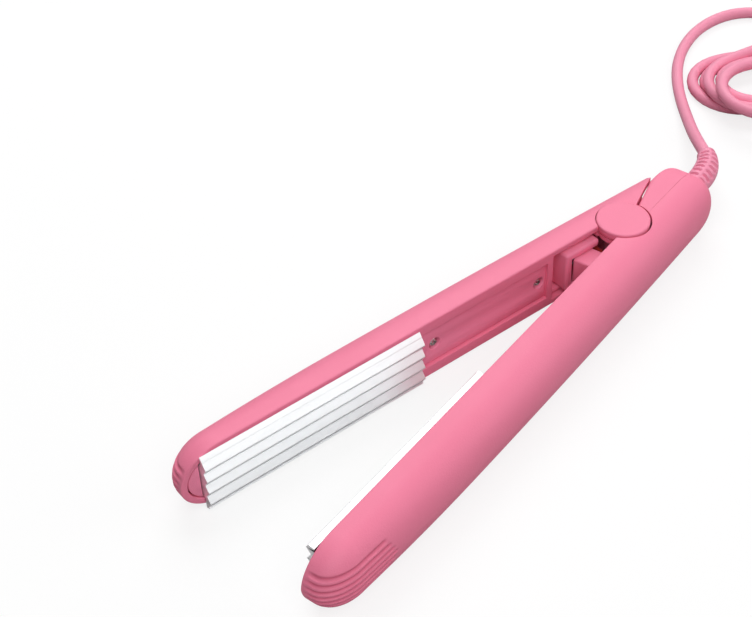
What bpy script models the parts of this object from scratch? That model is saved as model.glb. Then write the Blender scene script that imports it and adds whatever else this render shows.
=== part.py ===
# Mini hair crimper, lying on its side with its jaws sprung open.
#
# Frame: +Z is the hinge axis, the origin is where that axis meets the table, and the cord arm runs
# along X: its tip at -X, its cord at +X. The other arm, the plate arm, is turned open about Z.
# Each arm is drawn shut, in its own frame: u runs from the hinge to the tip (u = -x), v runs from the
# middle of the shut tool outwards through the arm's back, and w is the height over the middle plane.

import math

import bmesh
import bpy
from mathutils import Matrix, Vector

MM = 0.001

# ---- driving sizes, millimetres and degrees --------------------------------------------------------
OPEN_ANGLE = 15.0          # between the arms when the spring has pushed them to their stop
GAP = 0.3                  # clearance between neighbouring pieces

ARM_HALF_WIDTH = 10.0      # along the hinge axis
ARM_DEPTH = 14.95          # from the shut tool's middle to the arm's back, at its thickest
ARM_BACK_DROP = 0.9        # how much lower the back lies at BACK_RUN from its thickest place
ARM_THICKEST_U = 60.0
ARM_BACK_RUN = 80.0
TIP_DROP = 1.2             # how far the back is drawn in towards the nose, from TIP_DROP_FROM_U on
TIP_DROP_FROM_U = 95.0
BACK_FULLNESS = 2.15       # of the back's section: 2 is an ellipse, more is squarer
ARM_SHOULDER = 5.1         # where the straight side walls turn into the round back
WALL = 1.9
RIM_V = 2.3                # the open edge of a shell, from the shut tool's middle
TIP_U = 149.5
TIP_NOSE = 12.5            # length of the rounded nose
TAIL_X = 34.7              # rear end of the cord arm
TAIL_NOSE = 14.0
TAIL_FULLNESS = 2.9        # 2 is an ellipse, more is squarer

CAP_RADIUS = 7.75
CAP_PROUD = 0.4            # how far a hinge cap stands over the arm's side
CAP_THICKNESS = 1.7
CAP_RECESS_CLEAR = 0.2
CORD_ARM_CAP_CLEAR = 0.5   # the wider gap between a cap and the cord arm
KNUCKLE_RADIUS = 7.4
KNUCKLE_INNER = 6.2        # the plate arm's ears, from here out to the cap's seat
BARREL_RADIUS = 5.0
BARREL_HALF = 5.2
WASHER_RADIUS = 6.2
WASHER_THICKNESS = 0.4
AXLE_RADIUS = 1.5
AXLE_HEAD_RADIUS = 2.8
AXLE_HEAD_THICKNESS = 0.7

PLATE_REAR_U = 73.3
PLATE_LENGTH = 70.0
TOOTH_PITCH = 4.2
TOOTH_DEPTH = 1.45
PLATE_HALF = ARM_HALF_WIDTH - 0.7
FIRST_FOLD_W = PLATE_HALF - 1.3    # the folds run down from here, below a flat border
PLATE_MID_V = 0.175        # middle of the zigzag, half the gap between the shut plates
PLATE_BACK_V = 2.0
SPINE_HALF = 6.0
SPINE_DEPTH = 1.4

FLANGE_HALF = 6.4          # inner edge of the shell's rim flange
FLANGE_THICKNESS = 1.6
FLANGE_FRONT_U = 139.0
BRIDGE_U = 24.6
BRIDGE_LENGTH = 1.6
PANEL_V = 3.3              # face of the sunken panel
COVER_V = 4.2              # face of the cover's wide lower plate
COVER_THICKNESS = 1.4
COVER_HALF = 7.8
DECK_V = 3.8
TIP_PAD_V = 2.6
TIP_PAD_U = 143.6
STEP = 0.15                # small steps where one block of a moulding meets another
WINDOW_REAR_CLEAR = 7.3    # from the heater to the window's rear end, room for its leads
WINDOW_FRONT_CLEAR = 2.7
WINDOW_SIDE_CLEAR = 0.8

SCREW_U = (29.0, 67.0)
SCREW_HEAD_RADIUS = 1.65
SCREW_HEAD_THICKNESS = 0.9
SCREW_HOLE_CLEAR = 0.3
SCREW_SHANK_RADIUS = 0.9
SCREW_LENGTH = 6.6
SCREW_SEAT_V = 4.7
BOSS_RADIUS = 2.2

SOCKET_U = 20.6            # front of the spring socket in the plate arm
SOCKET_REAR_U = 8.0
SOCKET_HALF = 6.6
SOCKET_WALL = 2.0
SOCKET_FLOOR = 0.9
SOCKET_RIM_V = 0.9
SOCKET_FLOOR_V = 8.3
TRAY_FRONT_U = 23.2        # the sunken tray round the socket
TRAY_HALF = 6.75
TRAY_V = 7.4
TRAY_WALL = 0.8
BLOCK_U = (9.6, 17.0)      # the hollow block on the cord arm that reaches into the socket
BLOCK_WALL = 1.2
BLOCK_CLEAR = 0.4          # between the block and the socket it reaches into
BLOCK_RISE = 5.9
BLOCK_FLOOR_V = 8.0
SPRING_WIRE = 0.6
SPRING_RADIUS = 1.35
SPRING_TURNS = 9

HEATER_LENGTH = 50.0
HEATER_HALF = 5.5
HEATER_THICKNESS = 2.5
PAD_THICKNESS = 0.8
LEAF_THICKNESS = 0.5
LEAF_LENGTH = 42.0
LEAF_HALF = 4.0

WIRE_RADIUS = 0.65
WIRE_W = 5.2               # height of the leads over and under the middle plane
WIRE_V = 8.0
FUSE_RADIUS = 1.3
FUSE_LENGTH = 9.0
FUSE_U = 45.0

PARTING_V = 4.3            # seam between the tail's two halves, and the height of the cord's axis
TAIL_FACE_V = 0.1          # the tail's inner face beside the hinge
TAIL_FACE_SLOPE = 0.25
TAIL_FACE_X = 7.87
TAIL_COVER_X = 6.2
TAIL_CORNER_FULLNESS = 6.0
WEDGE_SLOPE = 0.54         # the plate arm's tail is cut to a wedge by this slope
WEDGE_U = -7.5

RELIEF_RADIUS = 3.3
RELIEF_END_RADIUS = 2.95
RELIEF_INSIDE = 8.5        # length held inside the tail
RELIEF_OUTSIDE = 19.6
RELIEF_STRAIGHT = 6.0      # straight length outside the tail, before the bend
RELIEF_TURN = 49.4         # how far the boot is bent towards the plate arm's side
RELIEF_RIBS = 8
RELIEF_RIB_DEPTH = 0.45
RELIEF_FLANGE_RADIUS = 3.9
RELIEF_FLANGE = 1.5

SHEATH_RADIUS = 1.9
SHEATH_LENGTH = 8.0
CLAMP_X = 22.5
CLAMP_LENGTH = 3.0
CLAMP_HALF = 6.4
CLAMP_THICKNESS = 1.5
CLAMP_SCREW_W = 4.6

CORD_RADIUS = 1.9
# The hank's turns end in these round folds, (x, y, outer radius): three fanned ones and a common one.
HANK_FOLDS = [(102.9, 15.8, 17.2), (101.1, 9.3, 17.2), (95.5, 1.8, 17.2), (146.6, -27.4, 17.2)]
HANK_HEIGHT = 11.7
HANK_EDGE = 1.5
TIE_AT = (124.5, -8.5)     # where the tie crosses the hank
TIE_ANGLE = -38.0          # of the hank's long axis there, from +X
TIE_WIDTH = 5.0
TIE_THICKNESS = 0.8

PLUG_FRONT_X = 71.0
PLUG_LENGTH = 25.7
PLUG_Y = -32.2
PLUG_HALF = 10.0
PLUG_HEIGHT = 14.0
BLADE_SPACING = 12.7
BLADE_WIDTH = 6.3
BLADE_THICKNESS = 1.5
BLADE_LENGTH = 16.0

# The cord's route by hand: out of the boot, down to the table, round in a loop and up to its coil.
CORD_ROUTE = [
    (52.9, 1.5, 10.4), (56.2, 4.9, 10.0), (59.8, 8.1, 8.9), (63.6, 10.9, 7.3), (67.5, 13.6, 5.7),
    (71.4, 16.2, 4.0), (75.3, 19.0, 2.8), (79.2, 22.1, 2.1), (83.0, 25.4, 2.0), (92.7, 32.5, 2.0),
    (103.2, 38.1, 2.0), (114.7, 41.5, 2.0), (126.7, 42.2, 2.0), (136.5, 39.7, 2.0), (143.3, 35.3, 2.0),
    (147.6, 28.0, 2.0), (150.6, 18.5, 2.0), (153.0, 8.5, 2.0), (155.3, -1.5, 2.0), (157.4, -11.2, 2.0),
]
LEAD_ROUTE = [
    (120.1, -34.6, 8.8), (112.0, -33.9, 7.7), (104.0, -32.5, 7.0), (97.0, -32.2, 7.0),
]

MIDDLE_Z = ARM_HALF_WIDTH + CAP_PROUD
SEAT_W = MIDDLE_Z - CAP_THICKNESS - GAP      # a cap's seat, over the middle plane
NOSE_U = TIP_U - TIP_NOSE
TAIL_NOSE_X = TAIL_X - TAIL_NOSE
CLAMP_BAR_V = PARTING_V - SHEATH_RADIUS - GAP
RELIEF_START_X = TAIL_X - RELIEF_INSIDE
HEATER_REAR_U = PLATE_REAR_U + PLATE_LENGTH / 2 - HEATER_LENGTH / 2
HEATER_FRONT_U = HEATER_REAR_U + HEATER_LENGTH
COVER_REAR_U = SOCKET_REAR_U + 0.7

# Looks: linear colour, roughness, metallic value.
SHELL_PLASTIC = ((0.83, 0.25, 0.36), 0.45, 0.0)
COVER_PLASTIC = ((0.80, 0.22, 0.34), 0.5, 0.0)
CORD_PLASTIC = ((0.80, 0.27, 0.38), 0.4, 0.0)
DARK_PLASTIC = ((0.08, 0.08, 0.09), 0.5, 0.0)
PLATE_METAL = ((0.80, 0.82, 0.83), 0.3, 1.0)
PLAIN_STEEL = ((0.55, 0.56, 0.58), 0.3, 1.0)
BLADE_BRASS = ((0.75, 0.60, 0.30), 0.3, 1.0)
HEATER_CERAMIC = ((0.80, 0.78, 0.72), 0.7, 0.0)
RED_INSULATION = ((0.60, 0.05, 0.04), 0.5, 0.0)
WHITE_INSULATION = ((0.80, 0.80, 0.78), 0.5, 0.0)


# ---- scene, collections and the two arm frames ----------------------------------------------------
def new_collection(name):
    made = bpy.data.collections.new(name)
    bpy.context.scene.collection.children.link(made)
    return made


for old in list(bpy.data.objects):
    bpy.data.objects.remove(old, do_unlink=True)

PARTS = new_collection("hair_crimper")
CUTTERS = new_collection("cutters")


class Arm:
    """One arm's frame: an empty on the hinge axis at the middle plane, and the side its back faces."""

    def __init__(self, name, side, turned):
        self.side = side
        self.empty = bpy.data.objects.new(name, None)
        self.empty.location = (0, 0, MIDDLE_Z * MM)
        self.empty.rotation_euler = (0, 0, math.radians(turned))
        PARTS.objects.link(self.empty)

    def at(self, u, v, w):
        """A point of the arm in its empty's frame, in metres."""
        return Vector((-u, self.side * v, w)) * MM


CORD_ARM = Arm("cord_arm_axis", -1, 0)
PLATE_ARM = Arm("plate_arm_axis", 1, -OPEN_ANGLE)
TABLE = Arm("table_frame", 1, 0)
TABLE.empty.location = (0, 0, 0)


def own_material(name, look):
    """A material for one sub-part, from its look: colour, roughness and metallic value."""
    colour, roughness, metallic = look
    made = bpy.data.materials.new(name)
    made.use_nodes = True
    shader = made.node_tree.nodes["Principled BSDF"]
    shader.inputs["Base Color"].default_value = (*colour, 1)
    shader.inputs["Roughness"].default_value = roughness
    shader.inputs["Metallic"].default_value = metallic
    return made


# ---- shape helpers --------------------------------------------------------------------------------
def finish(name, mesh, arm, look, helper=False):
    """Link a mesh as a sub-part, or as a hidden helper that cuts or joins."""
    made = bpy.data.objects.new(name, mesh)
    made.parent = arm.empty
    if helper:
        made.hide_render = True
        made.display_type = "WIRE"
        CUTTERS.objects.link(made)
        return made
    mesh.shade_smooth()
    mesh.set_sharp_from_angle(angle=math.radians(35))
    mesh.materials.append(own_material(name, look))
    PARTS.objects.link(made)
    return made


def mesh_from(bm, name):
    """Turn a closed bmesh into a mesh whose faces all point outwards."""
    bmesh.ops.recalc_face_normals(bm, faces=bm.faces)
    if bm.calc_volume(signed=True) < 0:
        bmesh.ops.reverse_faces(bm, faces=bm.faces)
    mesh = bpy.data.meshes.new(name)
    bm.to_mesh(mesh)
    bm.free()
    return mesh


def box(name, arm, low, high, look=None):
    """A block between two corners (u, v, w)."""
    bm = bmesh.new()
    bmesh.ops.create_cube(bm, size=1)
    a, b = arm.at(*low), arm.at(*high)
    for vert in bm.verts:
        vert.co = Vector((a[i] + (b[i] - a[i]) * (vert.co[i] + 0.5) for i in range(3)))
    return finish(name, mesh_from(bm, name), arm, look, helper=look is None)


def rod(name, arm, start, end, radius, look=None, end_radius=None, sides=24):
    """A round bar or cone between two points (u, v, w)."""
    a, b = arm.at(*start), arm.at(*end)
    bm = bmesh.new()
    bmesh.ops.create_cone(
        bm, cap_ends=True, segments=sides, radius1=radius * MM,
        radius2=(radius if end_radius is None else end_radius) * MM, depth=(b - a).length,
    )
    turn = Vector((0, 0, 1)).rotation_difference(b - a).to_matrix().to_4x4()
    bmesh.ops.transform(bm, matrix=Matrix.Translation((a + b) / 2) @ turn, verts=bm.verts)
    return finish(name, mesh_from(bm, name), arm, look, helper=look is None)


def flat_shape(name, arm, outline, along, low, high, look=None):
    """A flat outline, drawn as a filled 2D curve and given a thickness along u, v or w.

    The outline's two coordinates are the other two of (u, v, w), in that order.
    """
    curve = bpy.data.curves.new(name, "CURVE")
    curve.dimensions = "2D"
    curve.fill_mode = "BOTH"
    curve.extrude = (high - low) / 2 * MM
    spline = curve.splines.new("POLY")
    spline.points.add(len(outline) - 1)
    for point, (p, q) in zip(spline.points, outline):
        point.co = (p * MM, q * MM, 0, 1)
    spline.use_cyclic_u = True
    holder = bpy.data.objects.new(name + "_outline", curve)
    CUTTERS.objects.link(holder)
    mesh = bpy.data.meshes.new_from_object(holder.evaluated_get(bpy.context.evaluated_depsgraph_get()))
    bpy.data.objects.remove(holder)
    middle = (low + high) / 2
    bm = bmesh.new()
    bm.from_mesh(mesh)
    bmesh.ops.remove_doubles(bm, verts=bm.verts, dist=0.00001)
    for vert in bm.verts:
        p, q, t = vert.co.x / MM, vert.co.y / MM, vert.co.z / MM + middle
        spot = {"u": (t, p, q), "v": (p, t, q), "w": (p, q, t)}[along]
        vert.co = arm.at(*spot)
    return finish(name, mesh_from(bm, name), arm, look, helper=look is None)


def loft(bm, rings, closed_ring, cap_first=False, cap_last=False):
    """Skin rings of points with quads."""
    rows = [[bm.verts.new(point) for point in ring] for ring in rings]
    columns = len(rows[0])
    for one, other in zip(rows, rows[1:]):
        for i in range(columns if closed_ring else columns - 1):
            j = (i + 1) % columns
            bm.faces.new((one[i], one[j], other[j], other[i]))
    if cap_first:
        bm.faces.new(rows[0])
    if cap_last:
        bm.faces.new(rows[-1])
    bmesh.ops.remove_doubles(bm, verts=bm.verts, dist=0.00001)


def modifier(target, kind, other, operation="DIFFERENCE"):
    made = target.modifiers.new(other.name, kind)
    made.object = other
    made.operation = operation
    made.solver = "EXACT"


def cut(target, *others):
    for other in others:
        modifier(target, "BOOLEAN", other)


def join(target, *others):
    for other in others:
        modifier(target, "BOOLEAN", other, "UNION")


def tube(name, arm, route, radius, look, smooth_steps=1):
    """A wire along a smooth curve through route, a list of (u, v, w)."""
    points = spline_points([Vector(p) for p in route], smooth_steps)
    curve = bpy.data.curves.new(name, "CURVE")
    curve.dimensions = "3D"
    curve.bevel_depth = radius * MM
    curve.bevel_resolution = 2
    curve.use_fill_caps = True
    spline = curve.splines.new("POLY")
    spline.points.add(len(points) - 1)
    for point, place in zip(spline.points, points):
        point.co = (*arm.at(*place), 1)
    made = bpy.data.objects.new(name, curve)
    made.parent = arm.empty
    curve.materials.append(own_material(name, look))
    PARTS.objects.link(made)
    return made


def spline_points(route, steps):
    """Points of a smooth curve through the route's own points."""
    made = []
    for i in range(len(route) - 1):
        before = route[max(i - 1, 0)]
        after = route[min(i + 2, len(route) - 1)]
        start, end = route[i], route[i + 1]
        for step in range(steps):
            t = step / steps
            made.append(0.5 * (2 * start + (end - before) * t
                               + (2 * before - 5 * start + 4 * end - after) * t ** 2
                               + (3 * start - before - 3 * end + after) * t ** 3))
    return made + [route[-1]]


# ---- the arm's outer form -------------------------------------------------------------------------
def back_v(u):
    """How far the arm's back lies from the shut tool's middle."""
    bow = ARM_BACK_DROP * ((u - ARM_THICKEST_U) / ARM_BACK_RUN) ** 2
    drawn_in = max(0.0, (min(u, NOSE_U) - TIP_DROP_FROM_U) / (NOSE_U - TIP_DROP_FROM_U)) ** 2
    return ARM_DEPTH - bow - TIP_DROP * drawn_in


def nose_steps(count, fullness):
    """Pairs (how far along the nose, width left) of a rounded end."""
    for i in range(1, count + 1):
        angle = math.radians(90 * i / count)
        yield math.sin(angle) ** (2 / fullness), max(math.cos(angle), 0) ** (2 / fullness)


def half_round(arm, u, rim, shoulder, back, half_width, fullness, steps=14):
    """An open section of a shell, from one rim over its back to the other rim."""
    ring = [arm.at(u, rim, -half_width)]
    for i in range(steps + 1):
        angle = math.radians(180 * i / steps - 90)
        across = math.copysign(abs(math.sin(angle)) ** (2 / fullness), math.sin(angle))
        rise = max(math.cos(angle), 0) ** (2 / fullness)
        ring.append(arm.at(u, shoulder + (back - shoulder) * rise, half_width * across))
    ring.append(arm.at(u, rim, half_width))
    return ring


def shell_surface(name, arm, rear_u, closed_rear, look):
    """The open half-round skin of an arm, given its wall by Solidify."""
    rings = []
    if closed_rear:
        for along, width in reversed(list(nose_steps(6, TAIL_FULLNESS))):
            u = -TAIL_NOSE_X - TAIL_NOSE * along
            depth = (back_v(-TAIL_NOSE_X) - ARM_SHOULDER) * width
            rings.append(half_round(arm, u, RIM_V, ARM_SHOULDER, ARM_SHOULDER + depth,
                                    ARM_HALF_WIDTH * width, BACK_FULLNESS))
    straight_from = -TAIL_NOSE_X if closed_rear else rear_u
    stations = 16
    for i in range(stations + 1):
        u = straight_from + (NOSE_U - straight_from) * i / stations
        rings.append(half_round(arm, u, RIM_V, ARM_SHOULDER, back_v(u), ARM_HALF_WIDTH, BACK_FULLNESS))
    for along, width in nose_steps(6, 2.0):
        u = NOSE_U + TIP_NOSE * along
        depth = (back_v(NOSE_U) - ARM_SHOULDER) * width
        rings.append(half_round(arm, u, RIM_V, ARM_SHOULDER, ARM_SHOULDER + depth,
                                ARM_HALF_WIDTH * width, BACK_FULLNESS))
    bm = bmesh.new()
    loft(bm, rings, closed_ring=False)
    turn_outwards(bm, arm.at(ARM_THICKEST_U, RIM_V, 0))
    mesh = bpy.data.meshes.new(name)
    bm.to_mesh(mesh)
    bm.free()
    made = finish(name, mesh, arm, look)
    add_wall(made)
    return made


def turn_outwards(bm, inside):
    """Point an open skin's faces away from a point inside it."""
    bmesh.ops.recalc_face_normals(bm, faces=bm.faces)
    facing = sum((f.calc_center_median() - inside).dot(f.normal) * f.calc_area() for f in bm.faces)
    if facing < 0:
        bmesh.ops.reverse_faces(bm, faces=bm.faces)


def add_wall(made):
    wall = made.modifiers.new("wall", "SOLIDIFY")
    wall.thickness = WALL * MM
    wall.offset = -1
    wall.use_even_offset = True


def rim_flange(arm, shell, tag):
    """The flat return flange inside the rim, with the bridge across its rear end."""
    v_low, v_high = RIM_V, RIM_V + FLANGE_THICKNESS
    reach = ARM_HALF_WIDTH - WALL + 0.4
    for side in (-1, 1):
        w = sorted((side * FLANGE_HALF, side * reach))
        rail = box(f"{tag}_rail_{side}", arm, (BRIDGE_U, v_low, w[0]), (FLANGE_FRONT_U, v_high, w[1]))
        join(shell, rail)
    bridge = box(f"{tag}_bridge", arm, (BRIDGE_U, v_low + 0.002, -reach + 0.1),
                 (BRIDGE_U + BRIDGE_LENGTH, v_high - 0.002, reach - 0.1))
    join(shell, bridge)


def screw_bosses(arm, shell, tag):
    """Posts inside the shell for the cover's screws, each with its pilot hole."""
    for number, u in enumerate(SCREW_U):
        boss = rod(f"{tag}_boss_{number}", arm, (u, COVER_V + COVER_THICKNESS + GAP, 0),
                   (u, back_v(u) - WALL / 2, 0), BOSS_RADIUS, sides=16)
        pilot = rod(f"{tag}_pilot_{number}", arm, (u, COVER_V, 0),
                    (u, SCREW_SEAT_V + SCREW_LENGTH, 0), SCREW_SHANK_RADIUS + GAP, sides=12)
        join(shell, boss)
        cut(shell, pilot)


# ---- shells -----------------------------------------------------------------------------------------
def cap_opening(arm, shell, tag, clearance, floor):
    """Round openings in both side walls for the hinge caps."""
    for side in (-1, 1):
        low, high = sorted((side * floor, side * (ARM_HALF_WIDTH + 3)))
        opening = rod(f"{tag}_cap_opening_{side}", arm, (0, 0, low), (0, 0, high),
                      CAP_RADIUS + clearance, sides=48)
        cut(shell, opening)


def make_cord_arm_shell():
    shell = shell_surface("cord_arm_shell", CORD_ARM, 0, True, SHELL_PLASTIC)
    rim_flange(CORD_ARM, shell, "cord_arm")
    screw_bosses(CORD_ARM, shell, "cord_arm")
    saddle = box("clamp_saddle", CORD_ARM,
                 (-CLAMP_X - CLAMP_LENGTH / 2, PARTING_V + SHEATH_RADIUS + GAP, -2.4),
                 (-CLAMP_X + CLAMP_LENGTH / 2, back_v(-CLAMP_X) - WALL / 2, 2.4))
    join(shell, saddle)
    for side in (-1, 1):
        post = rod(f"clamp_post_{side}", CORD_ARM, (-CLAMP_X, CLAMP_BAR_V + GAP, side * CLAMP_SCREW_W),
                   (-CLAMP_X, back_v(-CLAMP_X) - 3.2, side * CLAMP_SCREW_W), 1.9, sides=16)
        hole = rod(f"clamp_pilot_{side}", CORD_ARM, (-CLAMP_X, 0, side * CLAMP_SCREW_W),
                   (-CLAMP_X, CLAMP_BAR_V + 6.0, side * CLAMP_SCREW_W), SCREW_SHANK_RADIUS + GAP, sides=12)
        join(shell, post)
        cut(shell, hole)
    for side in (-1, 1):
        low, high = sorted((side * (CLAMP_SCREW_W + 2.6), side * 15))
        cut(shell, box(f"tail_seam_side_{side}", CORD_ARM, (-TAIL_X - 5, -8, low),
                       (0, PARTING_V + GAP / 2, high)))
    cut(shell, box("tail_seam_rear", CORD_ARM, (-TAIL_X - 5, -8, -15),
                   (-CLAMP_X - CLAMP_LENGTH, PARTING_V + GAP / 2, 15)))
    cap_opening(CORD_ARM, shell, "cord_arm", CORD_ARM_CAP_CLEAR, KNUCKLE_INNER - GAP)
    cut(shell, relief_bore("shell_relief_bore"))
    return shell


def relief_bore(name):
    """The hole through the tail's rear wall for the cord's boot."""
    return rod(name, CORD_ARM, (-TAIL_X - 5, PARTING_V, 0), (-RELIEF_START_X + 2, PARTING_V, 0),
               RELIEF_RADIUS + GAP, sides=24)


def make_plate_arm_shell():
    rear = -TAIL_NOSE_X
    shell = shell_surface("plate_arm_shell", PLATE_ARM, rear, False, SHELL_PLASTIC)
    rim_flange(PLATE_ARM, shell, "plate_arm")
    screw_bosses(PLATE_ARM, shell, "plate_arm")
    for side in (-1, 1):
        low, high = sorted((side * KNUCKLE_INNER, side * (SEAT_W + 0.6)))
        disc = rod(f"knuckle_{side}", PLATE_ARM, (0, 0, low), (0, 0, high), KNUCKLE_RADIUS, sides=48)
        pad = box(f"knuckle_pad_{side}", PLATE_ARM, (-6.0, RIM_V + 0.1, low),
                  (SOCKET_REAR_U - GAP - 0.1, 6.6, high))
        low, high = sorted((side * (SOCKET_HALF + GAP), side * (ARM_HALF_WIDTH - WALL + 0.4)))
        lip = box(f"lip_{side}", PLATE_ARM, (COVER_REAR_U, RIM_V + 0.05, low),
                  (COVER_REAR_U + 1.1, DECK_V - GAP, high))
        join(shell, disc, pad, lip)
        axle_hole = rod(f"knuckle_bore_{side}", PLATE_ARM, (0, 0, side * 4), (0, 0, side * 13),
                        AXLE_RADIUS + GAP, sides=24)
        cut(shell, axle_hole)
    wedge_end = WEDGE_U - 25
    wedge = flat_shape("tail_wedge_cut", PLATE_ARM,
                       [(WEDGE_U, -9), (WEDGE_U, RIM_V + 0.1), (wedge_end, RIM_V + 0.1 + 25 * WEDGE_SLOPE),
                        (wedge_end, -9)], "w", -ARM_HALF_WIDTH - 2, ARM_HALF_WIDTH + 2)
    cut(shell, wedge)
    cap_opening(PLATE_ARM, shell, "plate_arm", CAP_RECESS_CLEAR, SEAT_W)
    return shell


def tail_face_v(x):
    return TAIL_FACE_V - TAIL_FACE_SLOPE * (x - TAIL_FACE_X)


def tail_half(name, inset, rim, look=None):
    """A closed solid of the tail's inner half, drawn in by inset on its sides, face and end."""
    seam = PARTING_V - GAP / 2
    half = ARM_HALF_WIDTH - inset
    stations = 5
    places = [(TAIL_COVER_X - inset + (TAIL_NOSE_X - TAIL_COVER_X + inset) * i / stations, 1.0)
              for i in range(stations + 1)]
    places += [(TAIL_NOSE_X + (TAIL_NOSE - inset) * along, width)
               for along, width in nose_steps(8, TAIL_FULLNESS)]
    rings = []
    for x, width in places:
        face = seam + (tail_face_v(min(x, TAIL_NOSE_X)) + inset - seam) * width
        rings.append(half_round(CORD_ARM, -x, seam + (rim - seam) * width, seam, face, half * width,
                                TAIL_CORNER_FULLNESS, 20))
    bm = bmesh.new()
    loft(bm, rings, closed_ring=True, cap_first=True)
    return finish(name, mesh_from(bm, name), CORD_ARM, look, helper=look is None)


def make_tail_cover():
    """The half of the tail that faces the plate arm's wedge."""
    seam = PARTING_V - GAP / 2
    cover = tail_half("tail_cover", 0, seam + 0.02, SHELL_PLASTIC)
    cut(cover, tail_half("tail_cover_inside", WALL, seam + 2.0))
    cap_opening(CORD_ARM, cover, "tail", CORD_ARM_CAP_CLEAR, KNUCKLE_INNER - GAP)
    cut(cover, relief_bore("cover_relief_bore"))
    return cover


# ---- inner covers ---------------------------------------------------------------------------------
def nose_outline(a, b, from_u, half, steps=10):
    """A strip of the given half width whose front end follows the nose."""
    outline = [(from_u, -half)]
    outline += [(NOSE_U + a * math.sin(math.pi * i / steps), -b * math.cos(math.pi * i / steps))
                for i in range(steps + 1)]
    outline.append((from_u, half))
    return outline


def make_cover(arm, name, look, rear_u):
    """The inner cover: a wide plate under the flange, the sunken panel, the rear deck and the tip pad."""
    nose_a = TIP_NOSE - WALL - GAP
    cover = flat_shape(name, arm, nose_outline(nose_a, COVER_HALF, rear_u, COVER_HALF), "v",
                       COVER_V, COVER_V + COVER_THICKNESS, look)
    window_half = HEATER_HALF + WINDOW_SIDE_CLEAR
    cut(cover, box(f"{name}_window", arm, (HEATER_REAR_U - WINDOW_REAR_CLEAR, 0, -window_half),
                   (HEATER_FRONT_U + WINDOW_FRONT_CLEAR, 9, window_half)))
    panel = box(f"{name}_panel", arm, (BRIDGE_U + BRIDGE_LENGTH + GAP, PANEL_V, -FLANGE_HALF + GAP),
                (PLATE_REAR_U - GAP, COVER_V + 0.2, FLANGE_HALF - GAP))
    deck = box(f"{name}_deck", arm, (rear_u + STEP, DECK_V, -COVER_HALF + STEP),
               (BRIDGE_U - GAP, COVER_V + 0.2, COVER_HALF - STEP))
    join(cover, panel, deck)
    for number, u in enumerate(SCREW_U):
        head_radius = SCREW_HEAD_RADIUS + SCREW_HOLE_CLEAR
        cut(cover, rod(f"{name}_screw_seat_{number}", arm, (u, 0, 0), (u, SCREW_SEAT_V, 0), head_radius),
            rod(f"{name}_screw_hole_{number}", arm, (u, 0, 0), (u, 9, 0),
                SCREW_SHANK_RADIUS + GAP, sides=12))
    return cover


def join_tip_pad(cover, arm):
    """The raised half-moon that shows in front of the plate."""
    nose_a = TIP_NOSE - WALL - GAP - STEP
    outline = nose_outline(nose_a, COVER_HALF - STEP, NOSE_U, COVER_HALF - STEP)
    pad = flat_shape(f"{cover.name}_tip_pad", arm, outline, "v", TIP_PAD_V, COVER_V + 0.2)
    cut(pad, box(f"{cover.name}_tip_pad_cut", arm, (NOSE_U - 2, 0, -12), (TIP_PAD_U, 9, 12)))
    join(cover, pad)


def make_plate_arm_cover():
    cover = make_cover(PLATE_ARM, "plate_arm_cover", COVER_PLASTIC, COVER_REAR_U)
    tray = box("tray", PLATE_ARM, (COVER_REAR_U + STEP, COVER_V + STEP, -TRAY_HALF - TRAY_WALL / 2),
               (TRAY_FRONT_U + TRAY_WALL, TRAY_V + TRAY_WALL, TRAY_HALF + TRAY_WALL / 2))
    tray_hollow = box("tray_hollow", PLATE_ARM, (SOCKET_REAR_U - 3, 0, -TRAY_HALF),
                      (TRAY_FRONT_U, TRAY_V, TRAY_HALF))
    join(cover, tray)
    cut(cover, tray_hollow)
    socket = box("socket", PLATE_ARM, (SOCKET_REAR_U, SOCKET_RIM_V, -SOCKET_HALF),
                 (SOCKET_U, SOCKET_FLOOR_V + SOCKET_FLOOR, SOCKET_HALF))
    inner = SOCKET_HALF - SOCKET_WALL
    hollow = box("socket_hollow", PLATE_ARM, (SOCKET_REAR_U - 2, -3, -inner),
                 (SOCKET_U - SOCKET_WALL, SOCKET_FLOOR_V, inner))
    join(cover, socket)
    cut(cover, hollow)
    join_tip_pad(cover, PLATE_ARM)
    return cover


def make_cord_arm_cover():
    cover = make_cover(CORD_ARM, "cord_arm_cover", COVER_PLASTIC, COVER_REAR_U)
    barrel = rod("barrel", CORD_ARM, (0, 0, -BARREL_HALF), (0, 0, BARREL_HALF), BARREL_RADIUS, sides=32)
    web = box("barrel_web", CORD_ARM, (0, 2.4, -BARREL_HALF + STEP),
              (COVER_REAR_U + 2, COVER_V + COVER_THICKNESS - STEP, BARREL_HALF - STEP))
    block_half = SOCKET_HALF - SOCKET_WALL - BLOCK_CLEAR
    block = box("block", CORD_ARM, (BLOCK_U[0], -BLOCK_RISE, -block_half),
                (BLOCK_U[1], BLOCK_FLOOR_V + BLOCK_WALL, block_half))
    join(cover, web, barrel, block)
    hollow = box("block_hollow", CORD_ARM,
                 (BLOCK_U[0] + BLOCK_WALL, -BLOCK_RISE - 2, -block_half + BLOCK_WALL),
                 (BLOCK_U[1] - BLOCK_WALL, BLOCK_FLOOR_V, block_half - BLOCK_WALL))
    bore = rod("barrel_bore", CORD_ARM, (0, 0, -BARREL_HALF - 2), (0, 0, BARREL_HALF + 2), AXLE_RADIUS + GAP)
    wire_slot = box("wire_slot", CORD_ARM, (BARREL_RADIUS + 1.0, 1, -2.9), (BLOCK_U[0] - 0.6, 8, 2.9))
    cut(cover, hollow, bore, wire_slot)
    join_tip_pad(cover, CORD_ARM)
    return cover


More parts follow.
